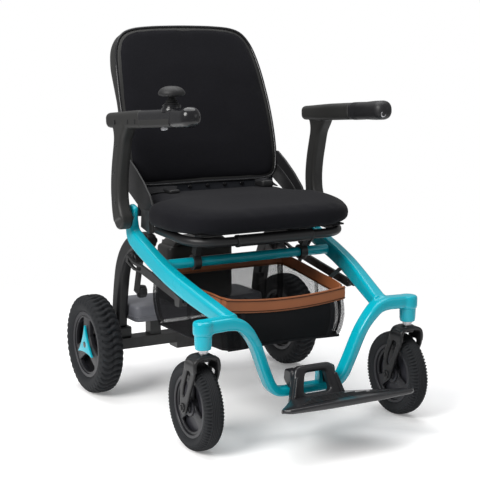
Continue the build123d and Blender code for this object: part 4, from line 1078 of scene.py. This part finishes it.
def arm_shells():
    """Post and pad of each armrest as one moulding, with screw recesses and a round pivot cap."""
    for label, side in SIDES:
        end = CAP_START if side > 0 else POD_START
        parts = [arm_stretch(side, 0.016, end - 0.001, pad_section, 0.016, 0.0)]
        line = smooth_line([(side * 0.2752, y - 0.0035, z) for y, z in POST_LINE], 60)
        parts.append(bar(line, X, post_section, 0.0, 0.0))
        parts.append(rounded_rod(-0.0130, 0.0165, 0.0255, 0.004, (side * 0.2715, 0.147, 0.465), X * side))
        shape = welded(join(*parts), 0.0022, 6)
        nodes = [f"arm_post_{label}", f"arm_pad_{label}"]
        add_piece(f"armrest_shell_{label}", shape, ARM_SKIN, f"armrest_{label}", nodes, 50)
        plugs = []
        for d in (0.060, 0.125, 0.160) if side < 0 else (0.050, 0.120, 0.200):
            place = Vector(arm_at(d, side, -0.005, 0.0215))
            plugs.append(bar([place - Z * 0.005, place + Z * 0.005], X, rounded_section(0.0045, 0.0045, 0.002)))
        for y, z in ((0.1575, 0.505), (0.158, 0.575), (0.146, 0.640)):
            place = (side * 0.2918, y - 0.0035, z)
            plugs.append(rounded_rod(-0.001, 0.0008, 0.0042, 0.0006, place, X * side, 24))
        add_piece(f"armrest_plugs_{label}", join(*plugs), GLOSS, f"armrest_{label}")


def groove(side, d, section, grow, width):
    """A thin band round an armrest."""
    return arm_stretch(side, d - width / 2, d + width / 2, lambda at: section(at) * grow, 0.0, 0.0, 3)


def left_end():
    """Front end of the left armrest: ribbed collar, bulbous nose and charging port."""
    parts = [arm_stretch(1, CAP_START + 0.001, ARM_END - 0.020, nose_section, 0.0, 0.020)]
    for k in range(4):
        parts.append(groove(1, CAP_START + 0.012 + 0.006 * k, nose_section, 1.03, 0.0032))
    add_piece("left_nose", join(*parts), PLASTIC, "armrest_left", ["arm_end_cap"], 40)
    port = Vector(arm_at(ARM_END - 0.0055, 1, -0.0095, -0.0070))
    ring = turning([(-0.010, 0.0066), (0.0, 0.0070), (0.0030, 0.0068), (0.0036, 0.0060), (0.0030, 0.0046), (-0.002, 0.0042), (-0.002, 0.0002)], port, ARM_WAY)
    add_piece("charging_port", ring, STEEL, "armrest_left")


def right_pod():
    """Control pod: split housing, bulbous nose and joystick seat."""
    parts = [arm_stretch(-1, POD_START + 0.0008, ARM_END - 0.020, nose_section, 0.0, 0.020)]
    parts.append(groove(-1, 0.318, nose_section, 1.012, 0.0016))
    collar = Vector(arm_at(STICK_AT, -1))
    profile = [
        (0.014, 0.0240), (0.0200, 0.0235), (0.0225, 0.0225), (0.0235, 0.0200), (0.0260, 0.0195), (0.0265, 0.0205),
        (0.0285, 0.0205), (0.0290, 0.0190), (0.0305, 0.0190), (0.0308, 0.0120), (0.0300, 0.0100),
    ]
    parts.append(turning(profile, collar, Z))
    add_piece("control_pod_shell", join(*parts), GLOSS, "armrest_right", ["control_pod"], 40)
    band = arm_stretch(-1, POD_START + 0.004, 0.314, lambda d: nose_section(d) * (1.012, 0.62), 0.0, 0.0)
    band.transform(Matrix.Translation((0, 0, -0.0075)))
    add_piece("control_pod_skirt", band, ARM_SKIN, "armrest_right")
    button = Vector(arm_at(0.256, -1))
    knob = rounded_rod(-0.0262, -0.0140, 0.0078, 0.0015, button, Z, 36)
    add_piece("pod_button_cap", knob, STEEL, "pod_button", ["pod_button"])


def joystick():
    """Mushroom knob, its stalk and the two folds of its bellows."""
    centre = Vector(arm_at(STICK_AT, -1))
    knob = turning(
        [
            (0.0475, 0.0060), (0.0475, 0.0180), (0.0485, 0.0250), (0.0505, 0.0288), (0.0540, 0.0300), (0.0575, 0.0294),
            (0.0615, 0.0270), (0.0655, 0.0225), (0.0685, 0.0160), (0.0700, 0.0085), (0.0704, 0.0001),
        ],
        centre,
        Z,
        72,
    )
    add_piece("joystick_knob", knob, GRIP, "stick", ["stick_knob"], 60)
    folds = turning(
        [
            (0.0240, 0.0090), (0.0290, 0.0125), (0.0305, 0.0160), (0.0325, 0.0165), (0.0340, 0.0120), (0.0350, 0.0100),
            (0.0365, 0.0130), (0.0380, 0.0135), (0.0395, 0.0105), (0.0410, 0.0085), (0.0480, 0.0080),
        ],
        centre,
        Z,
    )
    add_piece("joystick_bellows", folds, GRIP, "stick_ring", ["stick_gimbal"], 60)


# ------------------------------------------------------------------ footrest
def plate_rear(x):
    """Rear edge of the footplate."""
    return float(np.interp(abs(x), (0, 0.060, 0.072, 0.100, 0.125, 0.150, 0.166, 0.1715), (-0.262, -0.264, -0.284, -0.320, -0.352, -0.382, -0.400, -0.415)))


def footplate():
    """Wing-shaped footplate with a raised lip and fine grip lines."""
    tilt = math.tan(math.radians(11.5))
    rings = []
    for x in np.concatenate([[-0.1715, -0.1705], np.linspace(-0.168, 0.168, 85), [0.1705, 0.1715]]):
        end = float(ramp(abs(x), 0.150, 0.1715))
        front = -0.4345 + 0.016 * end**2 + 0.004 * (x / 0.17) ** 2
        rear = plate_rear(x)
        thick = 0.0145 - 0.0045 * float(ramp(abs(x), 0.05, 0.17)) - 0.004 * end
        chord = rear - front
        section = rounded_section(chord, thick, min(0.0045, chord / 2.2, thick / 2.05), 5)
        ring = []
        for u, v in section:
            y = (front + rear) / 2 + u
            base = 0.0885 + (-0.258 - y) * tilt
            crown = 0.0035 * (1 - (2 * u / chord) ** 2) * (1 if v > 0 else 0.2)
            ring.append((x, y, base + v + crown))
        rings.append(ring)
    add_piece("footplate_wing", skin(rings), PLATE_SKIN, "footrest", ["foot_plate"], 40)
    grips = []
    tilt = math.tan(math.radians(11.5))
    for k in range(5):
        y = -0.330 - 0.018 * k
        reach = 0.040 + 0.018 * k
        base = 0.0885 + (-0.258 - y) * tilt + 0.0100
        line = [(x, y, base - 0.0030 * (x / 0.13) ** 2) for x in np.linspace(-reach, reach, 9)]
        grips.append(bar(line, Y, rounded_section(0.003, 0.0022, 0.001)))
    add_piece("footplate_grips", join(*grips), PLASTIC, "footrest")


def arch():
    """Arch of the footrest: flared legs, a window and two hinge ears."""
    lean = Vector((0, 0.019, 0.074)).normalized()
    outer = [(-0.073, -0.004), (-0.0500, 0.0775), (0.0475, 0.0775), (0.071, -0.004)]
    window = [(-0.037, 0.014), (-0.0265, 0.0600), (0.0265, 0.0600), (0.037, 0.014)]
    loops = [rounded_loop(outer, [0.004, 0.021, 0.021, 0.004]), rounded_loop(window, 0.010)]
    parts = [cut_plate(loops, 0.0215, 0.0065, (0, -0.2830, 0.093), X, lean)]
    ear = rounded_loop([(-0.276, 0.120), (-0.268, 0.160), (-0.238, 0.160), (-0.234, 0.134), (-0.256, 0.118)], 0.009)
    for x in (-0.0475, 0.0475):
        parts.append(cut_plate([ear], 0.0230, 0.003, (x, 0, 0), Y, Z))
    for x in (-0.058, 0.058):
        line = [(x * 1.12, -0.2950, 0.102), (x * 0.88, -0.2820, 0.146)]
        parts.append(bar(line, X, rounded_section(0.006, 0.006, 0.002)))
    shape = welded(join(*parts), 0.0016, 3)
    add_piece("footrest_arch", shape, PLATE_SKIN, "footrest", ["foot_arch"], 50)
    bolts = [rounded_rod(0.0345, 0.0375, 0.0068, 0.001, (0, -0.245, 0.142), X * s, 24) for _, s in SIDES]
    add_piece("footrest_bolts", join(*bolts), STEEL, "footrest")


# ------------------------------------------------------------------ basket
BASKET_TOP = [
    (-0.150, -0.160), (0.140, -0.160), (0.154, -0.140), (0.172, -0.010), (0.176, 0.162), (-0.180, 0.162), (-0.178, -0.010),
    (-0.166, -0.140),
]


def basket_ring(height, count=240):
    """Outline of the basket at a share of its height, from the bottom to the rim."""
    top = np.array(rounded_loop(BASKET_TOP, 0.016, 8))
    taper = 0.955 + 0.045 * height**0.7
    line = np.array(smooth_line(top, count, closed=True))
    return np.column_stack([line[:, 0] * taper, 0.010 + (line[:, 1] - 0.010) * (taper if height < 1 else 1)])


def rim_low(x, y):
    """Height of the lower edge of the rim band, which sags between its hangers."""
    slope = 0.285 + 0.026 * (y + 0.150) / 0.318
    front = float(ramp(-y, 0.10, 0.15)) * max(0, 1 - (x / 0.17) ** 2)
    sides = math.exp(-(((y + 0.02) / 0.07) ** 2)) * float(ramp(abs(x), 0.12, 0.16))
    return slope - 0.013 * front - 0.004 * sides


def basket():
    """Net bag hung from a leather band, with a close-woven front, a floor and strap trim."""
    levels = (0.0, 0.12, 0.30, 0.50, 0.70, 0.88, 1.0)
    rings = []
    for h in levels:
        line = basket_ring(h)
        bulge = 0.006 * math.sin(math.pi * h)
        ring = []
        for x, y in line:
            top = rim_low(x, y) + 0.006
            low = 0.194 + 0.002 * math.cos(x / 0.05)
            out = 1 + bulge / 0.17
            ring.append((x * out, 0.01 + (y - 0.01) * out, low + (top - low) * h))
        rings.append(ring)
    rings = np.array(rings)
    count = rings.shape[1]
    front = np.abs(rings[0, :, 0]) < 0.118
    front &= rings[0, :, 1] < -0.05
    walls = {"front": [], "sides": []}
    for i in range(len(levels) - 1):
        for j in range(count):
            k = (j + 1) % count
            face = (i * count + j, i * count + k, (i + 1) * count + k, (i + 1) * count + j)
            walls["front" if front[j] and front[k] else "sides"].append(face)
    finish = {"front": PANEL_CLOTH, "sides": NET_CLOTH}
    pieces = []
    for name, faces in walls.items():
        shape = mesh_of(rings.reshape(-1, 3), faces)
        shape = applied(drop_loose(shape), ("SOLIDIFY", {"thickness": 0.0012, "offset": 0.0}))
        nodes = ["basket_bag"] if name == "front" else []
        pieces.append(add_piece(f"basket_{name}", shape, finish[name], "front_frame", nodes, 60))
    floor_rings = []
    for share in (1.0, 0.8, 0.55, 0.3, 0.02):
        floor_rings.append([(x * share, 0.01 + (y - 0.01) * share, z - 0.006 * (1 - share**2)) for x, y, z in rings[0]])
    shape = skin(floor_rings, caps=False)
    shape = applied(shape, ("SOLIDIFY", {"thickness": 0.0016, "offset": 0.0}))
    pieces.append(add_piece("basket_floor", shape, PANEL_CLOTH, "front_frame", (), 60))
    band_rings = []
    line = basket_ring(1.0)
    for depth, up in ((0.0, 0.0), (0.0030, 0.001), (0.0034, 0.016), (0.0030, 0.031), (0.0, 0.032), (-0.0030, 0.031), (-0.0034, 0.016), (-0.0030, 0.001)):
        ring = []
        for x, y in line:
            out = 1.012 + depth / 0.17 * 0.5
            ring.append((x * out, 0.01 + (y - 0.01) * out, rim_low(x, y) + up))
        band_rings.append(ring)
    band = outward(mesh_of(*skin_rings(np.array(band_rings), closed=True, caps=False)))
    pieces.append(add_piece("basket_band", band, TAN, "front_frame", ["basket_rim"], 40))
    trim = []
    for up in (0.0045, 0.0275):
        stitch_line = [(x * 1.026, 0.01 + (y - 0.01) * 1.026, rim_low(x, y) + up) for x, y in line]
        trim.append(skin(sweep_loop(stitch_line, (0, 0, 1), round_section(0.0007, 6)), closed=True))
    pieces.append(add_piece("basket_stitching", join(*trim), PANEL_CLOTH, "front_frame"))
    straps = []
    for x_top, x_low in ((-0.118, -0.100), (0.118, 0.100)):
        index_top = int(np.argmin(np.abs(rings[-1, :, 0] - x_top) + 10 * (rings[-1, :, 1] > 0)))
        path = [Vector(rings[i, index_top]) * 1.0 + Vector((0, -0.0012, 0)) for i in range(len(levels))]
        straps.append(bar(smooth_line(path, 24), X, rounded_section(0.012, 0.0018, 0.0008)))
    edge = [(x * 1.004, 0.01 + (y - 0.01) * 1.004, z + 0.001) for x, y, z in rings[0]]
    straps.append(skin(sweep_loop(edge, (0, 0, 1), round_section(0.0030, 10)), closed=True))
    trims = [pieces.pop(), add_piece("basket_straps", join(*straps), STRAP_CLOTH, "front_frame")]
    band_piece = pieces.pop()
    for piece in (*pieces, band_piece, *trims):
        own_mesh(piece)
    for piece, width, extra in zip(pieces, (0.110, 0.110, 0.300), ((), trims, ())):
        cut_sheet(piece, width, extra)


def cut_sheet(piece, width, with_pieces=()):
    """Does no work: piece and width are not used, and with_pieces is only turned into a list."""
    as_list(with_pieces)


def drop_loose(mesh):
    """The mesh without the points that no face uses."""
    import bmesh

    work = bmesh.new()
    work.from_mesh(mesh)
    bmesh.ops.delete(work, geom=[v for v in work.verts if not v.link_faces], context="VERTS")
    work.to_mesh(mesh)
    work.free()
    return mesh


# ------------------------------------------------------------------ rear frame, seat and hardware
REAR_LINE = [
    (0.148, 0.403), (0.180, 0.402), (0.216, 0.393), (0.250, 0.376), (0.279, 0.350), (0.300, 0.316), (0.312, 0.276),
    (0.321, 0.232), (0.327, 0.190), (0.329, 0.160),
]


def rear_legs():
    """Curved rear legs with an oval section and a boss at each pivot."""
    for label, side in SIDES:
        line = smooth_line([(side * 0.2065, y, z) for y, z in REAR_LINE], 80)
        parts = [bar(line, X, rounded_section(0.0300, 0.042, 0.009, 6), 0.006, 0.0)]
        parts.append(rounded_rod(-0.0128, 0.0128, 0.0170, 0.003, (side * 0.204, 0.150, 0.405), X))
        parts.append(rounded_rod(-0.0128, 0.0128, 0.0150, 0.003, (side * 0.204, 0.222, 0.350), X))
        shape = welded(join(*parts), 0.0019, 4)
        add_piece(f"rear_leg_shell_{label}", shape, BLACK_PAINT, "rear_frame", [f"rear_leg_{label}"], 50)


def slab(low, high, corner, edge):
    """A box with rounded plan corners and a rolled rim."""
    (x0, y0, z0), (x1, y1, z1) = low, high
    loop = rounded_loop([(x0, y0), (x1, y0), (x1, y1), (x0, y1)], corner)
    return cut_plate([loop], z1 - z0, edge, (0, 0, (z0 + z1) / 2), X, Y)


def power_unit():
    """Grey base cover, battery case with its handle and latches."""
    low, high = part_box("base_cover")
    low = Vector((low.x, low.y, high.z - 0.042))
    parts = [slab(low, high, 0.022, 0.007)]
    rim = slab((low.x - 0.0015, low.y - 0.0015, low.z + 0.012), (high.x + 0.0015, high.y + 0.0015, low.z + 0.0155), 0.023, 0.0012)
    parts.append(rim)
    for x in (-0.120, -0.060, 0.060, 0.120):
        parts.append(slab((x - 0.018, low.y - 0.002, low.z + 0.018), (x + 0.018, low.y + 0.004, high.z - 0.010), 0.002, 0.0012))
    add_piece("base_cover_shell", join(*parts), GREY_COVER, "rear_frame", ["base_cover"], 35)
    low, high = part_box("battery_pack")
    top = low.z + 0.146
    case = [slab((low.x, low.y, low.z), (high.x, high.y, top), 0.020, 0.010)]
    case.append(slab((low.x + 0.012, low.y - 0.0018, low.z + 0.020), (high.x - 0.012, low.y + 0.01, top - 0.030), 0.004, 0.0015))
    hood = rounded_loop([(-0.090, top - 0.004), (-0.066, high.z - 0.004), (0.066, high.z - 0.004), (0.090, top - 0.004)], 0.030, 8)
    case.append(cut_plate([hood], 0.074, 0.012, (0, (low.y + high.y) / 2, 0), X, Z))
    add_piece("battery_case", join(*case), ARM_SKIN, "battery", ["battery_pack"], 35)


def hinge_plates():
    """Sculpted side plates that carry the backrest."""
    line = [
        (0.098, 0.484), (0.103, 0.458), (0.130, 0.456), (0.160, 0.470), (0.192, 0.490), (0.228, 0.508), (0.266, 0.526),
        (0.278, 0.546), (0.270, 0.590), (0.240, 0.598), (0.200, 0.576), (0.158, 0.548), (0.120, 0.516),
    ]
    loop = rounded_loop(line, 0.016)
    parts = []
    for _, side in SIDES:
        x = side * 0.2133
        parts.append(cut_plate([loop], 0.0058, 0.0018, (x, 0, 0), Y, Z))
        parts.append(rounded_rod(-0.0015, 0.0044, 0.0100, 0.001, (x + side * 0.0, 0.118, 0.470), X * -side, 32))
        rib = smooth_line([(x - side * 0.0022, y, z) for y, z in ((0.126, 0.480), (0.158, 0.512), (0.204, 0.542), (0.250, 0.566))], 30)
        parts.append(bar(rib, X, rounded_section(0.005, 0.005, 0.002)))
    add_piece("hinge_plate_pair", join(*parts), PLASTIC, "backrest", ["hinge_plates"], 35)


def belts():
    """Lap belt halves, the buckle and the tongue."""
    top = 0.5160
    for label, side in SIDES:
        line = smooth_line([(side * 0.186, 0.214, top), (side * 0.165, 0.204, top + 0.004), (side * 0.140, 0.190, top + 0.006), (side * 0.120, 0.172, top + 0.006)], 30)
        strap = bar(line, lambda t: (side * 0.5, 0.85, 0.15), rounded_section(0.030, 0.0022, 0.0008))
        node = ["belt_webbing"] if side > 0 else []
        strap_piece = add_piece(f"belt_strap_{label}", strap, STRAP_CLOTH, "front_frame", node)
        cut_sheet(strap_piece, 0.030)
    shell = slab((0.115, 0.151, 0.5152), (0.149, 0.197, 0.5322), 0.009, 0.004)
    add_piece("buckle_shell", shell, PLASTIC, "front_frame", ["belt_buckle"], 35)
    plate = slab((-0.147, 0.151, 0.5152), (-0.117, 0.197, 0.5242), 0.009, 0.003)
    add_piece("tongue_grip", plate, PLASTIC, "front_frame", ["belt_tongue"], 35)


def rear_band():
    """Upright band behind the cushion, with a row of snap studs."""
    low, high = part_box("rear_strip")
    rings = []
    for x in np.linspace(low.x + 0.002, high.x - 0.002, 60):
        section = rounded_section(0.0030, high.z - low.z + 0.006, 0.0013, 3)
        rings.append([(x, (low.y + high.y) / 2 + u, (low.z + high.z) / 2 + 0.004 + v) for u, v in section])
    band = add_piece("rear_band", skin(rings), BAND_CLOTH, "front_frame", ["rear_strip"], 40)
    studs = []
    for k in range(7):
        x = -0.150 + 0.050 * k
        studs.append(rounded_rod(0.0, 0.0030, 0.0055, 0.001, (x, low.y + 0.001, 0.5190), -Y, 24))
    snaps = add_piece("snap_studs", join(*studs), GLOSS, "front_frame")
    cut_sheet(band, high.z - low.z + 0.006, [snaps])


def sleeve():
    """Moulded grip round the front bar, with a collar at each end."""
    low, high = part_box("front_sleeve")
    centre = (low + high) / 2
    reach = high.x
    parts = [rounded_rod(-reach, reach, 0.0138, 0.002, centre, X)]
    for _, side in SIDES:
        parts.append(rounded_rod(reach - 0.008, reach, 0.0146, 0.0015, centre, X * side))
    add_piece("front_grip", join(*parts), PLASTIC, "front_frame", ["front_sleeve"], 35)


def lock_knobs():
    """Fluted lock knobs."""
    for label, side in SIDES:
        low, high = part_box(f"lock_knob_{label}")
        centre = (low + high) / 2
        rings = []
        depth = high.x - low.x
        for share, radius in ((0.0, 0.0120), (0.06, 0.0160), (0.5, 0.0168), (0.92, 0.0155), (1.0, 0.0120)):
            ring = []
            for k in range(72):
                a = 2 * math.pi * k / 72
                r = radius - 0.0010 * max(0, math.cos(8 * a))
                ring.append((low.x + depth * share, centre.y + r * math.cos(a), centre.z + r * math.sin(a)))
            rings.append(ring)
        add_piece(f"lock_knob_grip_{label}", skin(rings), GRIP, f"lock_knob_{label}", [f"lock_knob_{label}"])


PLAIN = {
    TEAL: ["cross_tube", "foot_lugs"],
    BLACK_PAINT: [
        "seat_struts", "link_tabs", "pivot_pins", "seat_frame", "seat_brackets", "basket_hooks", "leg_fittings",
        "axle_beam", "fold_link_left", "fold_link_right", "seat_lever_left", "seat_lever_right",
    ],
    PLASTIC: ["drive_motors", "buckle_button"],
    PANEL_CLOTH: ["seat_panel"],
}


def dress():
    """Finishes for the CAD pieces that show as they are."""
    for material, nodes in PLAIN.items():
        for node in nodes:
            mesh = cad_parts[node].data
            mesh.materials.clear()
            mesh.materials.append(material)


teal_frame()
caster_barrels()
tyres()
drive_rims()
caster_rims()
forks()
cushion()
backrest()
arm_shells()
left_end()
right_pod()
joystick()
footplate()
arch()
basket()
rear_legs()
power_unit()
hinge_plates()
belts()
rear_band()
sleeve()
lock_knobs()
dress()


# ------------------------------------------------------------------ floor, light and camera
def floor_material():
    """Pale matt floor that fades into the white surround away from the chair."""
    material, tree, shader = start_material("pale_floor")
    axes = add_node(tree, "ShaderNodeSeparateXYZ", {0: place_in_piece(tree)})
    flat = add_node(tree, "ShaderNodeCombineXYZ", {0: axes.outputs[0], 1: axes.outputs[1]})
    away = add_node(tree, "ShaderNodeVectorMath", {0: flat.outputs[0]}, operation="LENGTH").outputs["Value"]
    fade = add_node(
        tree,
        "ShaderNodeMapRange",
        {"Value": away, "From Min": 0.75, "From Max": 1.7, "To Min": 1.0, "To Max": 0.0},
        interpolation_type="SMOOTHSTEP",
    )
    tree.links.new(fade.outputs[0], shader.inputs["Alpha"])
    shader.inputs["Base Color"].default_value = (0.95, 0.95, 0.955, 1)
    shader.inputs["Emission Color"].default_value = (1, 1, 1, 1)
    shader.inputs["Emission Strength"].default_value = 0.16
    shader.inputs["Roughness"].default_value = 0.7
    shader.inputs["Specular IOR Level"].default_value = 0.1
    return material


def studio_world():
    """White surround for the camera, with a dimmer one lighting the chair."""
    world = bpy.data.worlds.new("studio")
    scene.world = world
    world.use_nodes = True
    tree = world.node_tree
    rays = tree.nodes.new("ShaderNodeLightPath")
    strength = add_node(tree, "ShaderNodeMapRange", {"Value": rays.outputs["Is Camera Ray"], "To Min": 0.36, "To Max": 1.0})
    tree.links.new(strength.outputs[0], tree.nodes["Background"].inputs["Strength"])
    tree.nodes["Background"].inputs["Color"].default_value = (1, 1, 1, 1)


def stage_and_light():
    """Pale floor, soft studio light and the camera."""
    floor = mesh_of([(-4, -4, 0), (4, -4, 0), (4, 4, 0), (-4, 4, 0)], [(0, 1, 2, 3)])
    floor_object = bpy.data.objects.new("floor", floor)
    scene.collection.objects.link(floor_object)
    floor.materials.append(floor_material())
    studio_world()
    lamps = (
        ("key", (-2.6, -0.9, 2.2), 1.8, 100, (1.0, 0.99, 0.97)),
        ("fill", (2.2, -2.4, 1.6), 1.6, 5, (0.96, 0.98, 1.0)),
        ("top", (0.1, 0.5, 3.0), 3.2, 72, (1, 1, 1)),
    )
    for name, place, size, power, colour in lamps:
        lamp = bpy.data.lights.new(name, "AREA")
        lamp.shape = "DISK"
        lamp.size = size
        lamp.energy = power
        lamp.color = colour
        holder = bpy.data.objects.new(name, lamp)
        holder.location = place
        holder.rotation_euler = (Vector((0, 0, 0.4)) - Vector(place)).to_track_quat("-Z", "Y").to_euler()
        scene.collection.objects.link(holder)
    scene.view_settings.view_transform = "Standard"
    camera_data = bpy.data.cameras.new("camera")
    camera_data.sensor_width = 36
    camera_data.lens = 94.28
    camera_data.clip_end = 50
    camera = bpy.data.objects.new("camera", camera_data)
    camera.location = (-1.4985, -2.5675, 0.9095)
    target = Vector((-0.0109, 0.046, 0.4062))
    camera.rotation_euler = (target - camera.location).to_track_quat("-Z", "Y").to_euler()
    scene.collection.objects.link(camera)
    scene.camera = camera


stage_and_light()
